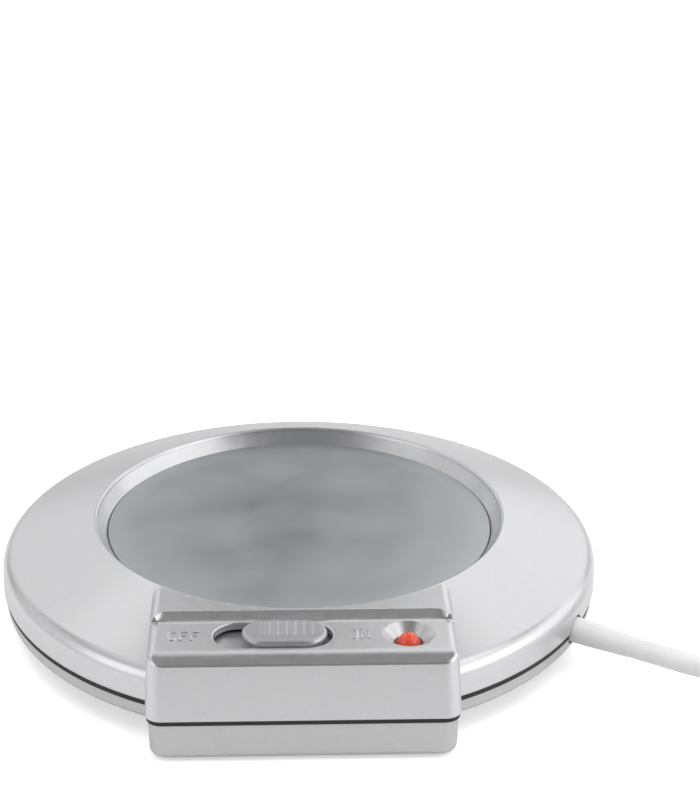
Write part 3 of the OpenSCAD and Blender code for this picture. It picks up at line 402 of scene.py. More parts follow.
def addPlug():
    # sections (half width a, half height b) are |x/a|^n + |z/b|^n = 1 with n from 2 to 3.2
    long, edge = plug["long"], plug["round"]
    along = np.r_[
        np.linspace(0, 8, 9), np.linspace(8.6, 15, 12), np.linspace(15.5, long - edge, 46),
        long - edge * np.cos(np.linspace(0.25, np.pi / 2, 7)), long,
    ]
    swell = ease((along - plug["swellFrom"]) / plug["swellLong"])
    past = np.clip(along - (long - edge), 0, edge) / edge
    drawnIn = plug["drawnIn"] * (1 - np.sqrt(np.clip(1 - past**2, 0, 1)))
    neck = plug["neck"] + plug["collar"] * ease(along / plug["collarLong"])
    thick = plug["neck"] + plug["collar"]
    a = neck + swell * (plug["wide"] / 2 - thick) - drawnIn
    b = neck + swell * (plug["high"] / 2 - thick) - drawnIn
    power = 2 / (2 + plug["square"] * swell)
    t = circle(96)
    c, s = np.cos(t)[None], np.sin(t)[None]
    x = np.sign(c) * np.abs(c) ** power[:, None] * a[:, None]
    z = np.sign(s) * np.abs(s) ** power[:, None] * b[:, None]
    inGrooves = np.clip((along - plug["groovesFrom"]) / plug["groovesLong"], 0, 1)
    grooves = np.sin(inGrooves * plug["grooves"] * np.pi) ** 2
    x = x - np.sign(c) * plug["grooveDeep"] * grooves[:, None] * ease((np.abs(c) - 0.25) / 0.5)
    y = np.broadcast_to(along[:, None], x.shape)
    return loft("plugBody", np.stack([x, y, z], axis=-1) + plug["at"], 40)


blade = {
    "long": 16.5, "wide": 6.3, "corner": 1.5, "thick": 1.5, "chamfer": 0.18, "apart": 12.7,
    "hole": 1.6, "holeAt": 12.2,
}


def addBlades():
    # a blade is its outline at four depths, the outer two drawn in by the chamfer
    half, root = blade["wide"] / 2, np.array(plug["at"]) + [0, plug["long"], 0]
    line = rounded([(0, -half, 0), (blade["long"], -half, blade["corner"]),
                    (blade["long"], half, blade["corner"]), (0, half, 0)], 6)
    outer, flat = blade["thick"] / 2, blade["thick"] / 2 - blade["chamfer"]
    pair = []
    for sign in (-1, 1):
        rings = []
        for x, inset in ((-outer, blade["chamfer"]), (-flat, 0), (flat, 0),
                         (outer, blade["chamfer"])):
            reach = np.where(line[:, 0] > blade["long"] / 2, line[:, 0] - inset, line[:, 0])
            rings.append(np.c_[np.full(len(line), x), reach, line[:, 1] * (1 - inset / half)])
        made = loft(f"blade{sign}", np.array(rings) + [sign * blade["apart"] / 2, 0, 0], 30)
        made.data.transform(Matrix.Translation((root * mm).tolist()))
        pair.append(made)
    drill = post("drill", 0, 0, -20, 20, blade["hole"], 32)
    drill.data.transform(Matrix.Rotation(math.pi / 2, 4, "Y"))
    drill.data.transform(Matrix.Translation(((root + [0, blade["holeAt"], 0]) * mm).tolist()))
    return combine(joined("plugBlades", pair, 30), [drill], "DIFFERENCE", 30)


plugBody = addPlug()
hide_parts("plug_body")
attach(plugBody, "base")
plugBlades = addBlades()
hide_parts("plug_blades")
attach(plugBlades, "base")

# tie round the coil's strands: two rows deep near the middle, one row at the outside
tie = {
    "inner": 17.1, "shelf": 27.0, "outer": 35.9, "start": 26.0,  # from the coil's middle
    "low": 0.05, "step": 5.4, "high": 10.0, "corner": 2.0, "topCorner": 2.2,
    "thick": 0.45, "wide": 3.0, "chamfer": 0.2,
}


def addTie():
    # flat band in the upright plane at the tie's angle: an outer line, and one drawn in from it
    low, high, corner, topCorner = tie["low"], tie["high"], tie["corner"], tie["topCorner"]
    line = rounded(
        [(tie["start"], low, 0), (tie["outer"], low, corner), (tie["outer"], tie["step"], corner),
         (tie["shelf"], high, topCorner), (tie["inner"], high, topCorner),
         (tie["inner"], low, corner), (tie["start"], low, 0)], 8)[:-1]
    inside = line + unit(line.mean(axis=0) - line) * tie["thick"]
    turned = math.radians(coil["tie"])
    out = np.array([math.cos(turned), math.sin(turned), 0])
    side = np.array([-math.sin(turned), math.cos(turned), 0])
    centre = np.array([*coil["at"], 0])
    edge, flat = tie["wide"] / 2, tie["wide"] / 2 - tie["chamfer"]
    rings = [
        centre + ring[:, :1] * out + ring[:, 1:] * [0, 0, 1] + shift * side
        for ring, shift in ((inside, -edge), (line, -flat), (line, flat), (inside, edge),
                            (inside, flat), (inside, -flat))
    ]
    return loft("coilTie", rings, 40, closed=True)


coilTie = addTie()
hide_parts("coil_tie")
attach(coilTie, "base")
print("cord pieces")

# upper shell, in millimetres and degrees: the disc's side leans in by "draft", and its cone
# rises by "slope" to the rim round the sunk plate
shell = {
    "r": 65.0, "seam": 9.9, "side": 13.6, "draft": 2.7, "slope": 19.6, "shoulder": 3.8,
    "seamRound": 0.35, "rimR": 44.8, "rimRound": 0.8, "wallR": 44.08, "openR": 42.14,
    "coneTo": 43.5,  # the cone runs on this far in, and the recess cuts it off
    "sunk": 3.0, "lip": 19.211, "thick": 2.0, "wall": 2.5, "skirt": 46.3,
}
tanOf = {key: math.tan(math.radians(shell[key])) for key in ("draft", "slope")}
sideR = shell["r"] - (shell["side"] - shell["seam"]) * tanOf["draft"]
coneZ = shell["side"] + shell["shoulder"] / math.tan(math.radians(45 + shell["slope"] / 2))
rimZ = coneZ + (sideR - shell["rimR"]) * tanOf["slope"]
plateTop = rimZ - shell["sunk"]
# control box: half width, heights of its top, and where they change, measured forward; the top
# is level behind the ledge, then steps down to the panel, then bends down to the front edge
box = {
    "half": 30.95, "front": 65.0, "corner": 3.3, "back": 28.0, "lean": 12.0,
    "ledge": 45.2, "panelBack": 47.66, "panelFront": 60.06, "edge": 62.64,
    "panel": rimZ - 1.2, "low": rimZ - 2.4, "runsTo": (75.0, 6.04),
    "ledgeRound": 0.7, "backRound": 3.2, "frontRound": 6.0,
    "sideEdge": 1.7, "frontEdge": 0.8, "bendLess": 0.9,  # radii of the edges round the top
    "stepFrom": 26.2, "stepOver": 2.9, "stepOut": 2.3, "stepFade": (34.0, 8.0),
    "wall": 2.5, "wallRows": 6, "edgeRows": 9, "across": 61,
}
controlY = -53.16
panelZ = box["panel"]


def discProfile():
    # outside of the disc: side, shoulder and cone
    seam, over = shell["seam"], rimZ + (shell["rimR"] - shell["coneTo"]) * tanOf["slope"]
    return rounded(
        [(0, seam, 0), (shell["r"], seam, shell["seamRound"]),
         (sideR, coneZ, shell["shoulder"]), (shell["rimR"], rimZ, 0),
         (shell["coneTo"], over, 0), (0, over, 0)], 14)


topLine = rounded(
    [(-box["runsTo"][0], box["low"] - box["runsTo"][1], 0), (-box["edge"], box["low"], 0),
     (-box["panelFront"], panelZ, box["frontRound"]), (-box["panelBack"], panelZ, box["backRound"]),
     (-box["ledge"], rimZ, box["ledgeRound"]), (0, rimZ, 0)], 8)


def topHeight(y):
    return np.interp(y, topLine[:, 0], topLine[:, 1])


def boxStations():
    # Where the side walls meet the top: sharp edge points, feet, inward directions and radii.
    # The walls lean in with height; the corner's points are x = -(half - r) - r cos a and
    # y = -(front - r) - r sin a, whose height is found by repeated reading of the top line.
    lean = math.tan(math.radians(box["lean"]))
    corner, seam = box["corner"], shell["seam"]

    def half(z):
        return box["half"] - (z - seam) * tanOf["draft"]

    def front(z):
        return box["front"] - (z - seam) * lean

    cornerStart = front(box["low"] + 0.6) - corner
    bends = topLine[(topLine[:, 0] > -cornerStart) & (topLine[:, 0] < -box["back"]), 0]
    straight = np.unique(np.r_[np.linspace(-box["back"], -cornerStart, 26), bends])[::-1]
    apart = np.r_[True, np.abs(np.diff(straight)) > 0.02]
    straight = straight[apart][:-1]
    share = (-straight - box["back"]) / (cornerStart - box["back"])
    footY = -(box["back"] + share * (box["front"] - corner - box["back"]))
    z = topHeight(straight)
    side = {
        "edge": np.stack([-half(z), straight, z], axis=1),
        "foot": level(np.stack([np.full(len(z), -half(seam)), footY], axis=1), seam),
        "inward": np.tile([1.0, 0.0], (len(z), 1)),
        "radius": np.full(len(z), box["sideEdge"]),
    }
    a = np.radians(np.linspace(0, 90, 19))
    z = np.full(len(a), box["low"])
    for _ in range(40):
        z = topHeight(-(front(z) - corner) - corner * np.sin(a))

    def cornerPoint(z):
        return np.stack([-(half(z) - corner) - corner * np.cos(a),
                         -(front(z) - corner) - corner * np.sin(a), z], axis=1)

    bend = {
        "edge": cornerPoint(z),
        "foot": cornerPoint(np.full(len(a), seam)),
        "inward": np.stack([np.cos(a), np.sin(a)], axis=1),
        "radius": box["sideEdge"] - box["bendLess"] * np.sin(a),
    }
    return side, bend


def boxRings(edge, foot, inward, radius):
    # Rings go up the leaning walls and over the rounded edge, whose arc at angle T between the
    # directions p and q is (p sin((1 - s) T) + q sin(s T)) / sin T with s from 0 to 1.
    near = 0.05
    slope = (topHeight(edge[:, 1] + near) - topHeight(edge[:, 1] - near)) / (2 * near)
    slope = np.where(np.abs(inward[:, 1]) > 0.05, slope, 0.0)
    over = unit(np.c_[inward, slope * inward[:, 1]])
    down = unit(foot - edge)
    angle = np.arccos(np.clip((over * down).sum(axis=1), -1, 1))
    middle = edge + unit(over + down) * (radius / np.sin(angle / 2))[:, None]
    reach = (radius / np.tan(angle / 2))[:, None]
    first, last = edge + down * reach - middle, edge + over * reach - middle
    turn = np.pi - angle
    rings = [foot + (edge + down * reach - foot) * share
             for share in np.linspace(0, 1, box["wallRows"])[:-1]]
    for share in np.linspace(0, 1, box["edgeRows"]):
        weights = np.sin((1 - share) * turn) / np.sin(turn), np.sin(share * turn) / np.sin(turn)
        rings.append(middle + weights[0][:, None] * first + weights[1][:, None] * last)
    return np.array(rings)


def steepenStep(points):
    # near its ends the step's top moves forward by stepOut (1 - sqrt(1 - t^2))
    t = np.clip((np.abs(points[:, 0]) - box["stepFrom"]) / box["stepOver"], 0, 0.995)
    share = np.clip((points[:, 1] + box["panelBack"]) / (box["panelBack"] - box["ledge"]), 0, 1)
    fadeFrom, fadeOver = box["stepFade"]
    share *= ease((-fadeFrom - points[:, 1]) / fadeOver)
    points[:, 1] -= box["stepOut"] * (1 - np.sqrt(1 - t * t)) * share


def boxSolid():
    # rings make the walls and the edge; rows of points from side to side make the top, whose
    # height is the profile's at each row
    side, bend = boxStations()
    left = {key: np.concatenate([side[key], bend[key]]) for key in side}
    across = np.sin(np.linspace(-np.pi / 2, np.pi / 2, box["across"]))[1:-1, None]
    spread = np.c_[-across, np.ones((len(across), 2))]
    front = {
        "edge": left["edge"][-1] * spread,
        "foot": left["foot"][-1] * spread,
        "inward": np.tile([0.0, 1.0], (len(across), 1)),
        "radius": np.full(len(across), box["frontEdge"]),
    }
    mirror = {"edge": [-1, 1, 1], "foot": [-1, 1, 1], "inward": [-1, 1]}
    right = {key: left[key][::-1] * np.array(mirror[key]) for key in mirror}
    right["radius"] = left["radius"][::-1]
    rings = boxRings(**{key: np.concatenate([left[key], front[key], right[key]]) for key in left})
    count, around = rings.shape[:2]
    rows, columns = len(left["edge"]), len(across) + 2
    rim = rings[-1]
    share = (across[:, 0] + 1) / 2
    grid = np.empty((rows, columns, 3))
    grid[:, 0], grid[:, -1] = rim[:rows], rim[::-1][:rows]
    grid[:, 1:-1] = grid[:, :1] + (grid[:, -1:] - grid[:, :1]) * share[None, :, None]
    grid[-1, 1:-1] = rim[rows : rows + len(share)]
    faces = gridFaces(count, around)
    faces += gridFaces(rows, columns, first=count * around)
    faces.append(list(range(around)))
    backEdge = [ring * around for ring in range(count)]
    topRow = [count * around + k for k in range(columns)]
    faces.append(backEdge + topRow + [c + around - 1 for c in backEdge][::-1])
    points = np.vstack([rings.reshape(-1, 3), grid.reshape(-1, 3)])
    steepenStep(points)
    return solid("boxPart", points, faces)


# what the disc loses so that it stays behind the box's leaning front
cutAway = {"behind": 0.2, "under": 2.0, "ahead": 4.0, "half": 20.0}


def frontCut():
    z0, z1 = shell["seam"] - cutAway["under"], box["low"]
    lean = math.tan(math.radians(box["lean"]))
    y0, y1 = (-box["front"] + (z - shell["seam"]) * lean + cutAway["behind"] for z in (z0, z1))
    ahead = -box["front"] - cutAway["ahead"]
    side = [(y0, z0), (y1, z1), (ahead, z1), (ahead, z0)]
    return loft("frontCut", [[(x, y, z) for y, z in side]
                             for x in (-cutAway["half"], cutAway["half"])])


def recessTool():
    # recess with a rounded rim: (rimR - (rimR - wallR) cos a, rim - rimRound (1 - sin a))
    a = np.radians(np.linspace(0, 90, 11))
    narrow = shell["rimR"] - shell["wallR"]
    rim = np.stack([shell["rimR"] - narrow * np.cos(a),
                    rimZ + 0.003 - shell["rimRound"] * (1 - np.sin(a))], axis=1)
    low, clear = shell["lip"] - 1, rimZ + 2
    return revolve("recessTool", np.vstack([
        [(0, low), (shell["openR"], low), (shell["openR"], plateTop - 0.3)], rim,
        [(shell["rimR"], clear), (0, clear)]]))


def discHollow():
    # the disc's inside: a wall's thickness in from the side and the cone, down to the skirt
    skirt, under = shell["skirt"], shell["thick"] / math.cos(math.radians(shell["slope"]))
    inner, low = shell["r"] - shell["wall"], 5
    return revolve("discHollow", [
        (0, low), (inner, low), (inner, shell["side"] - 0.5), (inner - 0.9, shell["side"] + 0.9),
        (inner - 2.4, coneZ - under + 0.6),
        (skirt, coneZ - under + (sideR - skirt) * tanOf["slope"]), (skirt, shell["lip"]),
        (0, shell["lip"])], 240)


def boxHollow():
    # the box's inside, short of the skirt that stands round the plate's opening
    half, ahead, behind = box["half"] - box["wall"], box["front"] - box["wall"], box["back"] + 1
    low, under = 5.5, panelZ - 1.4
    line = [(-ahead, low), (-behind, low), (-behind, under), (-(box["panelFront"] - 1.2), under),
            (-(box["edge"] - 2.3), box["low"] - 1.7), (-ahead, 11.7)]
    hollow = loft("boxHollow", [[(x, y, z) for y, z in line] for x in (-half, half)])
    skirt = post("skirt", 0, 0, shell["lip"] - 0.07, 40, shell["skirt"] + 0.12, 250)
    return combine(hollow, [skirt])


slot = {"x": -5.85, "long": 23.5, "wide": 9.8, "deep": 4.0, "flare": 0.3}
lamp = {"x": 20.9, "dish": 5.0, "hole": 2.85, "deep": 2.0, "flare": 0.3, "through": 16.0}


def slotTool():
    # the slot's outline, whose mouth opens by a quarter round at the panel
    flare, core = slot["flare"], (slot["long"] - slot["wide"]) / 2
    outline = stadium(slot["long"], slot["wide"], 128)
    steps = [(panelZ - slot["deep"], 0.0)]
    for angle in np.radians(np.linspace(0, 82, 7)):
        steps.append((panelZ - flare + flare * math.sin(angle), flare * (1 - math.cos(angle))))
    grow = steps[-1][1] + 0.1
    steps += [(panelZ + 0.02, grow), (panelZ + 3, grow)]
    normal = unit(outline - [[1, 0]] * np.sign(outline[:, :1]) * core)
    return loft("slotTool", [level(outline + normal * grow + (slot["x"], controlY), z)
                             for z, grow in steps])


def dishTool():
    wide, clear = lamp["dish"] + lamp["flare"], panelZ + 3.8
    line = rounded([
        (0, lamp["through"], 0), (lamp["hole"], lamp["through"], 0),
        (lamp["hole"], panelZ - lamp["deep"], 0.25), (lamp["dish"], panelZ, 0.2),
        (wide, panelZ + 0.03, 0), (wide, clear, 0), (0, clear, 0)], 6)
    return revolve("dishTool", line, 96, (lamp["x"], controlY, 0))


# bosses inside the upper shell: for the housing's screws, the switch's ears and the lamp
screwPlaces = [(27.5, 47.63), (-27.5, 47.63), (26.0, -59.3), (-26.0, -59.3)]
boss = {
    "r": 3.0, "hole": 1.5, "holeTop": 15.6,
    "earR": 1.8, "earLow": 18.411, "earApart": 19.2, "lampR": 5.6, "lampLow": 18.811,
}


def addUpperShell():
    body = revolve("upperShell", discProfile())
    combine(body, [frontCut()])
    combine(body, [boxSolid()], "UNION")
    combine(body, [discHollow()])
    combine(body, [boxHollow()])
    posts = [
        post(f"boss{i}", x, y, shell["seam"], coneZ if y > 0 else box["low"] - 0.6, boss["r"])
        for i, (x, y) in enumerate(screwPlaces)
    ]
    posts += [
        post(f"ear{sign}", slot["x"] + sign * boss["earApart"], controlY, boss["earLow"],
             panelZ - 0.9, boss["earR"]) for sign in (-1, 1)
    ]
    posts.append(
        post("lampBoss", lamp["x"], controlY, boss["lampLow"], panelZ - 0.5, boss["lampR"]))
    combine(body, posts, "UNION")
    for tool in (recessTool(), slotTool(), dishTool(), reliefHole()):
        combine(body, [tool])
    combine(body, [
        post(f"hole{i}", x, y, shell["seam"] - 1, boss["holeTop"], boss["hole"], 24)
        for i, (x, y) in enumerate(screwPlaces)
    ])
    return evenShading(body)


upperShell = addUpperShell()
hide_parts("upper_housing")
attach(upperShell, "base")
print("upper shell", len(upperShell.data.polygons))

# lower shell: a shallow bowl, its rim a little higher than the top of the sump under the box;
# "half", "front" and "back" are the sump's outside
lower = {
    "floor": 5.4, "top": 8.8, "rim": 9.28, "r": 64.5, "round": 1.4,
    "box": 0.8, "half": 30.35, "front": 64.4, "back": 40.0, "corner": 3.1, "edge": 1.6,
    "draft": 0.02, "wall": 2.0, "innerR": 60.6, "innerZ": 7.4, "boxInnerZ": 2.8, "open": 12.0,
    "pillarRear": (5.9, 4.4), "pillarFront": (1.3, 3.9),  # lowest point and radius
    "seat": 7.6, "pocket": 3.2,
}
# feet: the two at the rear by distance and degrees, the front two by x and y
foot = {
    "rear": (49.0, 42.5), "front": (15.0, -53.0), "r": 3.95, "high": 1.8, "edge": 0.5,
    "groove": (1.6, 1.9), "deep": 0.35, "seat": 4.15, "bossR": 7.0, "bossTop": 6.4,
}
rearX = foot["rear"][0] * math.cos(math.radians(foot["rear"][1]))
rearY = foot["rear"][0] * math.sin(math.radians(foot["rear"][1]))
frontX, frontY = foot["front"]
feet = [(rearX, rearY), (-rearX, rearY), (frontX, frontY), (-frontX, frontY)]


def roundedBox(half, front, back, corner, steps=10):
    # outline of the sump, anticlockwise from its back right corner
    a = np.radians(np.linspace(0, 90, steps + 1))
    c, s = corner * np.cos(a), corner * np.sin(a)
    x, y0, y1 = half - corner, -front + corner, -back - corner
    return np.vstack([
        np.c_[x + c, y1 + s], np.c_[-x - s, y1 + c], np.c_[-x - c, y0 - s], np.c_[x + s, y0 - c]])


def sumpSolid():
    # outline drawn in towards the bottom: edge radius e, ring (z, inset) = e (1 - cos, 1 - sin)
    e = lower["edge"]
    steps = [(lower["box"] + e * (1 - math.cos(a)), e * (1 - math.sin(a)))
             for a in np.radians(np.linspace(0, 90, 9))]
    rings = []
    for z, inset in [*steps, (lower["top"], 0.0)]:
        inset += (lower["top"] - z) * lower["draft"]
        rings.append(level(roundedBox(
            lower["half"] - inset, lower["front"] - inset, lower["back"] + inset,
            lower["corner"] - 0.5 * inset), z))
    return loft("sump", rings)


def addLowerShell():
    r, rim, wall = lower["r"], lower["rim"], lower["wall"]
    bowl = revolve("lowerShell", rounded(
        [(0, lower["floor"], 0), (r - 0.1, lower["floor"], lower["round"]), (r, rim, 0.2),
         (0, rim, 0)], 10))
    combine(bowl, [block("notch", (-20, -66, 4), (20, -64.2, 10))])
    combine(bowl, [sumpSolid()], "UNION")
    combine(bowl, [
        post(f"footBoss{i}", x, y, lower["box"], foot["bossTop"], foot["bossR"], 64)
        for i, (x, y) in enumerate(feet[:2])
    ], "UNION")
    combine(bowl, [post("inside", 0, 0, lower["innerZ"], lower["open"], lower["innerR"], 192)])
    within = roundedBox(lower["half"] - wall, lower["front"] - wall, lower["back"] + wall, 2)
    combine(bowl, [upright("sumpInside", within, lower["boxInnerZ"], lower["open"])])
    pillars = []
    for i, (x, y) in enumerate(screwPlaces):
        low, radius = lower["pillarRear"] if y > 0 else lower["pillarFront"]
        pillars.append(post(f"pillar{i}", x, y, low, lower["top"] - 0.1, radius))
    combine(bowl, pillars, "UNION")
    pockets = [post(f"pocket{i}", x, y, -1, lower["seat"], lower["pocket"])
               for i, (x, y) in enumerate(screwPlaces)]
    pockets += [post(f"seat{i}", x, y, -1, foot["high"], foot["seat"], 64)
                for i, (x, y) in enumerate(feet)]
    combine(bowl, pockets)
    combine(bowl, [reliefHole()])
    return evenShading(bowl)


lowerShell = addLowerShell()
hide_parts("lower_housing")
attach(lowerShell, "base")
print("lower shell", len(lowerShell.data.polygons))

# black rubber seal in the seam, a quarter millimetre behind the upper shell's edge; its black is
# partly painted shade, standing in for the shadow in the gap between the shells; the two outlines
# under the box are half width, front, back and corner
seal = {"gap": 0.03, "r": 64.74, "innerR": 62.2, "outer": (30.7, 64.76, 30, 3.2),
        "inner": (28.15, 62.15, 29, 2), "clear": (8, 11)}


def addShadeSeal():
    low, high = lower["top"] + seal["gap"], shell["seam"] - seal["gap"]
    band = post("seamShadeSeal", 0, 0, low, high, seal["r"], 256)
    combine(band, [upright("sealBox", roundedBox(*seal["outer"]), low, high)], "UNION")
    combine(band, [post("sealIn", 0, 0, *seal["clear"], seal["innerR"], 240)])
    combine(band, [upright("sealBoxIn", roundedBox(*seal["inner"]), *seal["clear"])])
    return combine(band, [reliefHole()])


seamShadeSeal = addShadeSeal()
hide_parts("seam_seal")
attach(seamShadeSeal, "base")
print("seal")


def addFeet():
    # pads with a rounded edge and a shallow groove in the sole
    grooveIn, grooveOut = foot["groove"]
    profile = rounded([
        (0, foot["deep"], 0), (grooveIn, foot["deep"], 0.2), (grooveOut, 0, 0.2),
        (foot["r"], 0, foot["edge"]), (foot["r"], foot["high"], 0), (0, foot["high"], 0)], 5)
    return joined("footPads", [
        revolve(f"footPad{i}", profile, 64, (x, y, 0)) for i, (x, y) in enumerate(feet)])


footPads = addFeet()
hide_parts("foot_pads")
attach(footPads, "base")

# pan heads with a cross recess, heads down in their pockets; heights are from the floor
screw = {"headR": 2.9, "crown": 2.0, "under": 5.9, "brim": 6.7, "seat": 7.6, "shank": 1.45,
         "neck": 15.4, "tip": 15.6, "cross": 1.5, "slit": 0.28, "crossTop": 6.9}


def addScrews():
    head = rounded([
        (0, screw["under"], 0), (screw["crown"], screw["under"], 0.8),
        (screw["headR"], screw["brim"], 0.5), (screw["headR"], screw["seat"], 0),
        (screw["shank"], screw["seat"], 0), (screw["shank"], screw["neck"], 0.2),
        (0, screw["tip"], 0)], 5)
    screws = joined("housingScrews", [
        revolve(f"screw{i}", head, 48, (x, y, 0)) for i, (x, y) in enumerate(screwPlaces)])
    bits, low = [], 5
    for i, (x, y) in enumerate(screwPlaces):
        for name, dx, dy in (("bit", screw["cross"], screw["slit"]),
                             ("cross", screw["slit"], screw["cross"])):
            bits.append(block(
                f"{name}{i}", (x - dx, y - dy, low), (x + dx, y + dy, screw["crossTop"])))
    return combine(screws, bits)


housingScrews = addScrews()
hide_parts("housing_screws")
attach(housingScrews, "base")
print("feet, screws")

# hot plate: a flat top with a soft edge, a short wall, the flange, and the heater's pocket below
plate = {
    "r": 42.0, "edge": 0.45, "thick": 1.5, "pocketR": 40.0, "flangeR": 46.0, "flangeUnder": 3.2,
    "flangeThick": 1.4, "rings": (36.0, 24.0, 12.0, 0.0),
}


def addHotPlate():
    under, low = plateTop - plate["thick"], plateTop - plate["flangeUnder"]
    high, outer = low + plate["flangeThick"], plate["flangeR"]
    profile = rounded(
        [(0, under, 0), (plate["pocketR"], under, 0.4), (plate["pocketR"], low, 0),
         (outer, low, 0.3), (outer, high, 0.3), (plate["r"], high, 0.3),
         (plate["r"], plateTop, plate["edge"]), *((r, plateTop, 0) for r in plate["rings"])], 8)
    return revolve("hotPlate", profile)


hotPlate = addHotPlate()
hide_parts("hot_plate")
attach(hotPlate, "base")

# switch knob, and the shutter under it that hides the slot's inside
knob = {
    "x": -3.6, "long": 16.9, "wide": 9.3, "top": panelZ + 1.0, "skirt": 2.4, "low": 19.411,
    "round": 0.75, "ribs": 8, "pitch": 1.7, "deep": 0.075, "ribbed": 0.9,
    "ribFront": -2.2, "ribBack": 3.85, "rows": 33,
}
shutter = {"left": -18.4, "right": 10.7, "half": 5.9, "low": 19.011, "high": 20.011}


def knobSolid():
    # Outline rings rise and turn in over the edge; rows across it make the top, lowered by the
    # grooves: deep times a narrow wave along x, where the wave fades at the front and the back.
    flat, half = (knob["long"] - knob["wide"]) / 2, knob["wide"] / 2
    a = np.linspace(0, np.pi / 2, 15)
    cap = np.stack([flat + half * np.cos(a), half * np.sin(a)], axis=1)
    run = np.linspace(flat, -flat, 161)[1:-1]
    upper = np.vstack([cap, np.c_[run, np.full(len(run), half)], (cap * [-1, 1])[::-1]])
    outline = np.vstack([upper, (upper * [1, -1])[::-1][1:-1]])
    core = np.clip(outline[:, 0], -flat, flat)
    normal = unit(outline - np.c_[core, np.zeros(len(core))])
    edge, top, rowsAcross = knob["round"], knob["top"], knob["rows"]
    steps = [(knob["low"], 0.0), (top - knob["skirt"], 0.0)]
    steps += [(top - edge * (1 - math.sin(t)), edge * (1 - math.cos(t)))
              for t in np.linspace(0, np.pi / 2, 9)]
    place = np.array([knob["x"], controlY])
    rings = np.array([level(outline - normal * inset + place, z) for z, inset in steps])
    count, around = rings.shape[:2]
    rows = len(upper)
    high = (outline - normal * edge)[:rows]
    share = np.linspace(1, -1, rowsAcross)[None, :, None]
    grid = np.concatenate([np.broadcast_to(high[:, None, :1], (rows, rowsAcross, 1)),
                           high[:, None, 1:] * share], axis=2)
    along = grid[..., 0] - knob["ribbed"]
    wave = np.cos(along / knob["pitch"] * 2 * np.pi)
    reach = ease((knob["ribs"] * knob["pitch"] / 2 + 0.1 - np.abs(along)) / 0.3)
    fade = ease((grid[..., 1] - knob["ribFront"]) / 0.5)
    fade = fade * ease((knob["ribBack"] - grid[..., 1]) / 0.3)
    beyond = np.clip(grid[..., 0], -flat, flat)
    fade *= ease((half - edge - np.hypot(grid[..., 0] - beyond, grid[..., 1])) / 0.4)
    sink = knob["deep"] * (0.5 + 0.5 * wave) * reach * fade
    crown = np.concatenate([grid + place, (top - sink)[..., None]], axis=2)
    faces = gridFaces(count, around, wrapColumns=True)
    faces.append(list(range(around)))
    faces += gridFaces(rows, rowsAcross, first=count * around)
    return solid("switchKnob", np.vstack([rings.reshape(-1, 3), crown.reshape(-1, 3)]), faces, 50)


def addKnob():
    under = block("shutter", (shutter["left"], controlY - shutter["half"], shutter["low"]),
                  (shutter["right"], controlY + shutter["half"], shutter["high"]))
    return combine(knobSolid(), [under], "UNION", 50)


switchKnob = addKnob()
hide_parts("switch_knob")
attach(switchKnob, "slider")

# pilot lens: the dome of a ball level with the panel, on a sleeve with a flange under its boss
lens = {"r": 2.35, "flange": 1.2, "flangeThick": 0.8, "foot": 14.811, "bore": 1.9, "tip": 1.4}


def addLens():
    r, under = lens["r"], boss["lampLow"]
    brim, centre = r + lens["flange"], panelZ - lens["r"]
    a = np.radians(np.linspace(90, 0, 15))
    dome = np.stack([r * np.cos(a), centre + r * np.sin(a)], axis=1)
    profile = np.vstack([dome, [
        (r, under), (brim, under), (brim, under - lens["flangeThick"]),
        (r, under - lens["flangeThick"]), (r, lens["foot"]), (lens["bore"], lens["foot"]),
        (lens["bore"], centre + 0.6), (lens["tip"], centre + 1.1), (0, centre + 1.3)]])
    return revolve("pilotLens", profile, 64, (lamp["x"], controlY, 0))


pilotLens = addLens()
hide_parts("indicator_lens")
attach(pilotLens, "base")

# raised letters: outlines about each letter's middle; the O is a bar with round ends and a bore
letters = {
    "o": (3.5, 1.9), "bore": (2.5, 0.9), "sunk": 0.2,
    "f": [(-0.8, -1.75), (-0.3, -1.75), (-0.3, -0.1), (0.6, -0.1), (0.6, 0.4), (-0.3, 0.4),
          (-0.3, 1.25), (0.9, 1.25), (0.9, 1.75), (-0.8, 1.75)],
    "n": [(-0.95, -1.75), (-0.45, -1.75), (-0.45, 0.75), (0.45, -1.75), (0.95, -1.75),
          (0.95, 1.75), (0.45, 1.75), (0.45, -0.75), (-0.45, 1.75), (-0.95, 1.75)],
    "offOut": 5.9, "onOut": 5.3,  # middles of the words, out from the slot's ends
    "offPitch": 2.2, "onPitch": 1.1,
    "steps": ((0.1, 0.0), (0.16, 0.03), (0.18, 0.1)),  # height over the panel, and drawn in by
}


def raisedShape(outline, x):
    # letter part: straight sides sunk in the panel, its upper edge drawn in a little; a corner's
    # shift along its middle line is the inset over cos(half the turn)
    outline = np.asarray(outline, float)
    edgeBack = unit(outline - np.roll(outline, 1, axis=0))
    edgeOn = unit(np.roll(outline, -1, axis=0) - outline)
    left = np.stack([-edgeBack[:, 1] - edgeOn[:, 1], edgeBack[:, 0] + edgeOn[:, 0]], axis=1)
    cosine = (edgeBack * edgeOn).sum(axis=1)
    left = unit(left) / np.sqrt((1 + cosine) / 2)[:, None]
    steps = [(-letters["sunk"], 0.0), *letters["steps"]]
    return loft("stroke", [level(outline + left * inset + (x, controlY), panelZ + rise)
                           for rise, inset in steps], 25)


def letterO(x):
    o, hole = (stadium(*letters[key], 64)[:, ::-1] * [-1, 1] for key in ("o", "bore"))
    bore = loft("bore", [level(hole * grow + (x, controlY), panelZ + rise)
                         for rise, grow in ((-0.4, 1), (0.12, 1), (0.4, 1.25))], 25)
    return combine(raisedShape(o, x), [bore], "DIFFERENCE", 25)


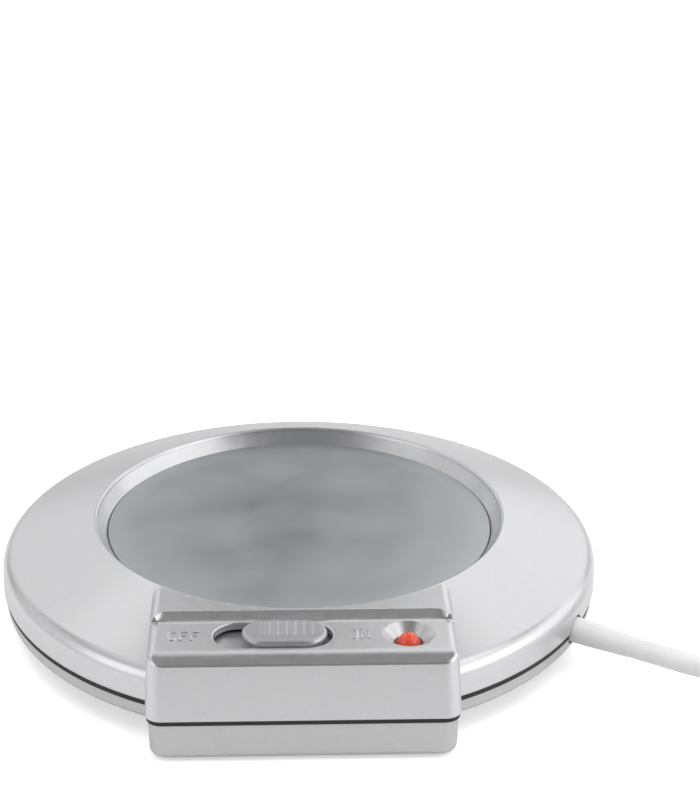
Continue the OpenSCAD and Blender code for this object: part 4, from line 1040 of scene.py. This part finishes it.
def addLetters():
    offX = slot["x"] - slot["long"] / 2 - letters["offOut"]
    onX = slot["x"] + slot["long"] / 2 + letters["onOut"]
    strokes = [letterO(offX - letters["offPitch"]), letterO(onX - letters["onPitch"])]
    strokes += [raisedShape(letters["f"], x) for x in (offX, offX + letters["offPitch"])]
    strokes.append(raisedShape(letters["n"], onX + letters["onPitch"]))
    return joined("panelLetters", strokes, 25)


panelLetters = addLetters()
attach(panelLetters, "base")
print("plate, knob, lens, letters")


def material(name, colour, rough, metallic=0.0, tint=0.04, tintSize=300, bump=0.02, bumpSize=3000,
             roughSpread=0.06, coat=0.0, detail=2.0):
    # principled surface whose colour, roughness and bump vary by noise in object space
    made = bpy.data.materials.new(name)
    made.use_nodes = True
    tree = made.node_tree
    surface = tree.nodes["Principled BSDF"]
    place = tree.nodes.new("ShaderNodeTexCoord")

    def noise(size, depth):
        node = tree.nodes.new("ShaderNodeTexNoise")
        node.inputs["Scale"].default_value = size
        node.inputs["Detail"].default_value = depth
        tree.links.new(place.outputs["Object"], node.inputs["Vector"])
        return node

    def spread(source, low, high):
        node = tree.nodes.new("ShaderNodeMapRange")
        setRange(node, (0.3, 0.7, low, high))
        tree.links.new(source.outputs["Fac"], node.inputs["Value"])
        return node

    broad, fine = noise(tintSize, detail), noise(bumpSize, 1.0)
    blend = tree.nodes.new("ShaderNodeMix")
    blend.data_type = "RGBA"
    blend.inputs["A"].default_value = (*[v * (1 - tint) for v in colour], 1)
    blend.inputs["B"].default_value = (*[min(1.0, v * (1 + tint)) for v in colour], 1)
    tree.links.new(spread(broad, 0.0, 1.0).outputs["Result"], blend.inputs["Factor"])
    tree.links.new(blend.outputs["Result"], surface.inputs["Base Color"])
    roughness = spread(broad, rough - roughSpread / 2, rough + roughSpread / 2)
    tree.links.new(roughness.outputs["Result"], surface.inputs["Roughness"])
    surface.inputs["Metallic"].default_value = metallic
    surface.inputs["Coat Weight"].default_value = coat
    raised = tree.nodes.new("ShaderNodeBump")
    raised.inputs["Strength"].default_value = bump
    raised.inputs["Distance"].default_value = 0.0004
    tree.links.new(fine.outputs["Fac"], raised.inputs["Height"])
    tree.links.new(raised.outputs["Normal"], surface.inputs["Normal"])
    return made


def setRange(node, values):
    for key, value in zip(("From Min", "From Max", "To Min", "To Max"), values):
        node.inputs[key].default_value = value


# colour, roughness and, for metals and metal paint, how metallic it is
finishes = {
    "upper_shell": material("upper_shell", (0.67, 0.67, 0.68), 0.31, 0.82, tint=0.02, tintSize=700,
                            bump=0.03, bumpSize=2600),
    "lower_shell": material("lower_shell", (0.56, 0.565, 0.56), 0.38, 0.65, tint=0.02, tintSize=700,
                            bump=0.03, bumpSize=2600),
    # the seal's near black is partly painted shade: it stands in for the shadow in the gap between
    # the shells
    "seal_rubber": material("seal_rubber", (0.012, 0.012, 0.013), 0.6),
    # the plate's broad blotches of lighter and darker tone are partly painted reflection, standing
    # in for soft reflections of things round it, over the metal's own uneven tone
    "plate_metal": material("plate_metal", (0.45, 0.475, 0.49), 0.36, 0.8, tint=0.045, tintSize=60,
                            bump=0.04, bumpSize=2200, roughSpread=0.12, detail=3.0),
    "sheet_steel": material("sheet_steel", (0.55, 0.55, 0.54), 0.35, 0.9, bump=0.1),
    "screw_steel": material("screw_steel", (0.58, 0.56, 0.50), 0.32, 0.9, bump=0.1),
    "brass": material("brass", (0.62, 0.45, 0.20), 0.3, 0.9, bump=0.08),
    "mica": material("mica", (0.45, 0.36, 0.20), 0.35, 0.1, tint=0.2, tintSize=500),
    "heater_card": material("heater_card", (0.20, 0.18, 0.17), 0.5, 0.4, tint=0.15, bump=0.3),
    "ceramic_fibre": material("ceramic_fibre", (0.75, 0.75, 0.70), 0.95, tint=0.08, bump=0.8,
                              bumpSize=1800),
    "cutout_ceramic": material("cutout_ceramic", (0.62, 0.56, 0.44), 0.7, bump=0.2),
    "shield_aluminium": material("shield_aluminium", (0.70, 0.71, 0.72), 0.3, 0.95, bump=0.1),
    "knob_plastic": material("knob_plastic", (0.50, 0.50, 0.51), 0.36, 0.75, tint=0.03,
                             tintSize=900, bump=0.03, bumpSize=2600),
    "black_plastic": material("black_plastic", (0.02, 0.02, 0.02), 0.45),
    "lens_orange": material("lens_orange", (0.62, 0.065, 0.03), 0.18, tint=0.06, bump=0.02,
                            coat=0.5),
    "lamp_glass": material("lamp_glass", (0.75, 0.45, 0.30), 0.08),
    "resistor_ceramic": material("resistor_ceramic", (0.55, 0.42, 0.22), 0.5),
    "block_plastic": material("block_plastic", (0.72, 0.72, 0.66), 0.5),
    "cord_white": material("cord_white", (0.73, 0.73, 0.73), 0.40, tint=0.015, tintSize=200,
                           bump=0.05, bumpSize=900),
    "plug_white": material("plug_white", (0.75, 0.75, 0.75), 0.38, tint=0.015, tintSize=200,
                           bump=0.05, bumpSize=900),
    "tie_plastic": material("tie_plastic", (0.02, 0.02, 0.02), 0.5),
    "blade_brass": material("blade_brass", (0.70, 0.62, 0.44), 0.25, 0.9, bump=0.05),
    "foot_rubber": material("foot_rubber", (0.02, 0.02, 0.02), 0.75, bump=0.3),
    "wire_brown": material("wire_brown", (0.11, 0.045, 0.02), 0.45),
    "wire_blue": material("wire_blue", (0.02, 0.07, 0.33), 0.45),
    "wire_sleeved": material("wire_sleeved", (0.66, 0.66, 0.60), 0.9, bump=0.6, bumpSize=1400),
    "wire_bare": material("wire_bare", (0.62, 0.62, 0.62), 0.3, 0.9),
}
glow = finishes["lens_orange"].node_tree.nodes["Principled BSDF"]
glow.inputs["Emission Color"].default_value = (1.0, 0.10, 0.03, 1)
glow.inputs["Emission Strength"].default_value = 0.05


def dress(piece, slotName):
    piece.data.materials.clear()
    piece.data.materials.append(finishes[slotName])


slotOf = {part["node"]: part["material_slot"] for part in frame["record"]["subparts"]}
for name, node in nodes.items():
    dress(node, slotOf[name])
for piece, slotName in (
    (upperShell, "upper_shell"), (lowerShell, "lower_shell"), (panelLetters, "upper_shell"),
    (hotPlate, "plate_metal"), (switchKnob, "knob_plastic"), (pilotLens, "lens_orange"),
    (mainsCord, "cord_white"), (cordRelief, "cord_white"), (plugBody, "plug_white"),
    (plugBlades, "blade_brass"), (coilTie, "tie_plastic"), (footPads, "foot_rubber"),
    (housingScrews, "screw_steel"), (seamShadeSeal, "seal_rubber"),
):
    dress(piece, slotName)
print("materials")

# the room's light by the height of the ray, and the floor's lift to white by the distance from
# the object in metres: from, to, value at the first, value at the second
stage = {
    "world": (0.15, 0.85, 0.09, 0.02), "worldColour": (0.95, 0.97, 1.0, 1),
    "lift": (0.25, 1.5, 0.5, 1.05), "reach": 6.0, "floorColour": (0.86, 0.86, 0.86, 1),
}


def addFloor():
    mesh = bpy.data.meshes.new("floor")
    reach = stage["reach"]
    mesh.from_pydata([(-reach, -reach, 0), (reach, -reach, 0), (reach, reach, 0),
                      (-reach, reach, 0)], [], [(0, 1, 2, 3)])
    floor = bpy.data.objects.new("floor", mesh)
    scene.collection.objects.link(floor)
    made = bpy.data.materials.new("floorWhite")
    made.use_nodes = True
    tree = made.node_tree
    surface = tree.nodes["Principled BSDF"]
    surface.inputs["Base Color"].default_value = stage["floorColour"]
    surface.inputs["Roughness"].default_value = 0.9
    surface.inputs["Emission Color"].default_value = (1, 1, 1, 1)
    # the camera sees the floor lifted to white, more so away from the object
    place = tree.nodes.new("ShaderNodeTexCoord")
    away = tree.nodes.new("ShaderNodeVectorMath")
    away.operation = "LENGTH"
    grow = tree.nodes.new("ShaderNodeMapRange")
    setRange(grow, stage["lift"])
    rays = tree.nodes.new("ShaderNodeLightPath")
    lift = tree.nodes.new("ShaderNodeMath")
    lift.operation = "MULTIPLY"
    tree.links.new(place.outputs["Object"], away.inputs[0])
    tree.links.new(away.outputs["Value"], grow.inputs["Value"])
    tree.links.new(grow.outputs["Result"], lift.inputs[1])
    tree.links.new(rays.outputs["Is Camera Ray"], lift.inputs[0])
    tree.links.new(lift.outputs["Value"], surface.inputs["Emission Strength"])
    mesh.materials.append(made)


def addWorld():
    world = bpy.data.worlds.new("studio")
    scene.world = world
    world.use_nodes = True
    tree = world.node_tree
    back = tree.nodes["Background"]
    back.inputs["Color"].default_value = stage["worldColour"]
    # the room is lighter near the horizon than overhead: strength by the height of the ray
    ray = tree.nodes.new("ShaderNodeTexCoord")
    parts = tree.nodes.new("ShaderNodeSeparateXYZ")
    height = tree.nodes.new("ShaderNodeMath")
    height.operation = "ABSOLUTE"
    falling = tree.nodes.new("ShaderNodeMapRange")
    setRange(falling, stage["world"])
    tree.links.new(ray.outputs["Object"], parts.inputs["Vector"])
    tree.links.new(parts.outputs["Z"], height.inputs[0])
    tree.links.new(height.outputs["Value"], falling.inputs["Value"])
    tree.links.new(falling.outputs["Result"], back.inputs["Strength"])
    rays = tree.nodes.new("ShaderNodeLightPath")
    plain = tree.nodes.new("ShaderNodeBackground")
    plain.inputs["Color"].default_value = (1, 1, 1, 1)
    plain.inputs["Strength"].default_value = 1.0
    seen = tree.nodes.new("ShaderNodeMixShader")
    tree.links.new(rays.outputs["Is Camera Ray"], seen.inputs["Fac"])
    tree.links.new(back.outputs["Background"], seen.inputs[1])
    tree.links.new(plain.outputs["Background"], seen.inputs[2])
    tree.links.new(seen.outputs["Shader"], tree.nodes["World Output"].inputs["Surface"])


def addLamp(name, azimuth, elevation, distance, size, radiance, mirrored=True):
    # soft box seen from the object at this azimuth, from +Y towards +X, and elevation
    data = bpy.data.lights.new(name, "AREA")
    data.shape = "RECTANGLE"
    data.size, data.size_y = size
    data.energy = radiance * math.pi * size[0] * size[1]
    softBox = bpy.data.objects.new(name, data)
    scene.collection.objects.link(softBox)
    a, e = math.radians(azimuth), math.radians(elevation)
    away = np.array([math.sin(a) * math.cos(e), math.cos(a) * math.cos(e), math.sin(e)])
    softBox.matrix_world = placed(np.stack([*acrossOf(away), away], axis=1), away * distance)
    softBox.visible_glossy = mirrored


addFloor()
addWorld()
# name, azimuth, elevation, distance, size and radiance of each soft box
softBoxes = [
    ("backLeft", -27, 32, 1.1, (0.75, 1.1), 0.83),
    ("backRight", 27, 32, 1.1, (0.75, 1.1), 1.08),
    ("backHighLeft", -52, 58, 1.1, (0.6, 0.45), 0.55),
    ("backHighRight", 52, 58, 1.1, (0.6, 0.45), 0.25),
    ("leftSoft", -72, 20, 1.0, (0.75, 0.65), 0.66),
    ("rightSoft", 72, 20, 1.0, (0.75, 0.65), 1.3),
    ("leftHigh", -98, 56, 1.1, (0.7, 0.5), 0.7),
    ("rightHigh", 98, 56, 1.1, (0.7, 0.5), 1.5),
    ("leftFront", -116, 22, 1.0, (0.7, 0.6), 1.5),
    ("rightFront", 114, 22, 1.0, (0.7, 0.6), 2.1),
]
for softBox in softBoxes:
    addLamp(*softBox)
addLamp("fill", 180, 72, 1.3, (1.2, 1.2), 2.75, mirrored=False)
scene.view_settings.view_transform = "Standard"
print("stage")
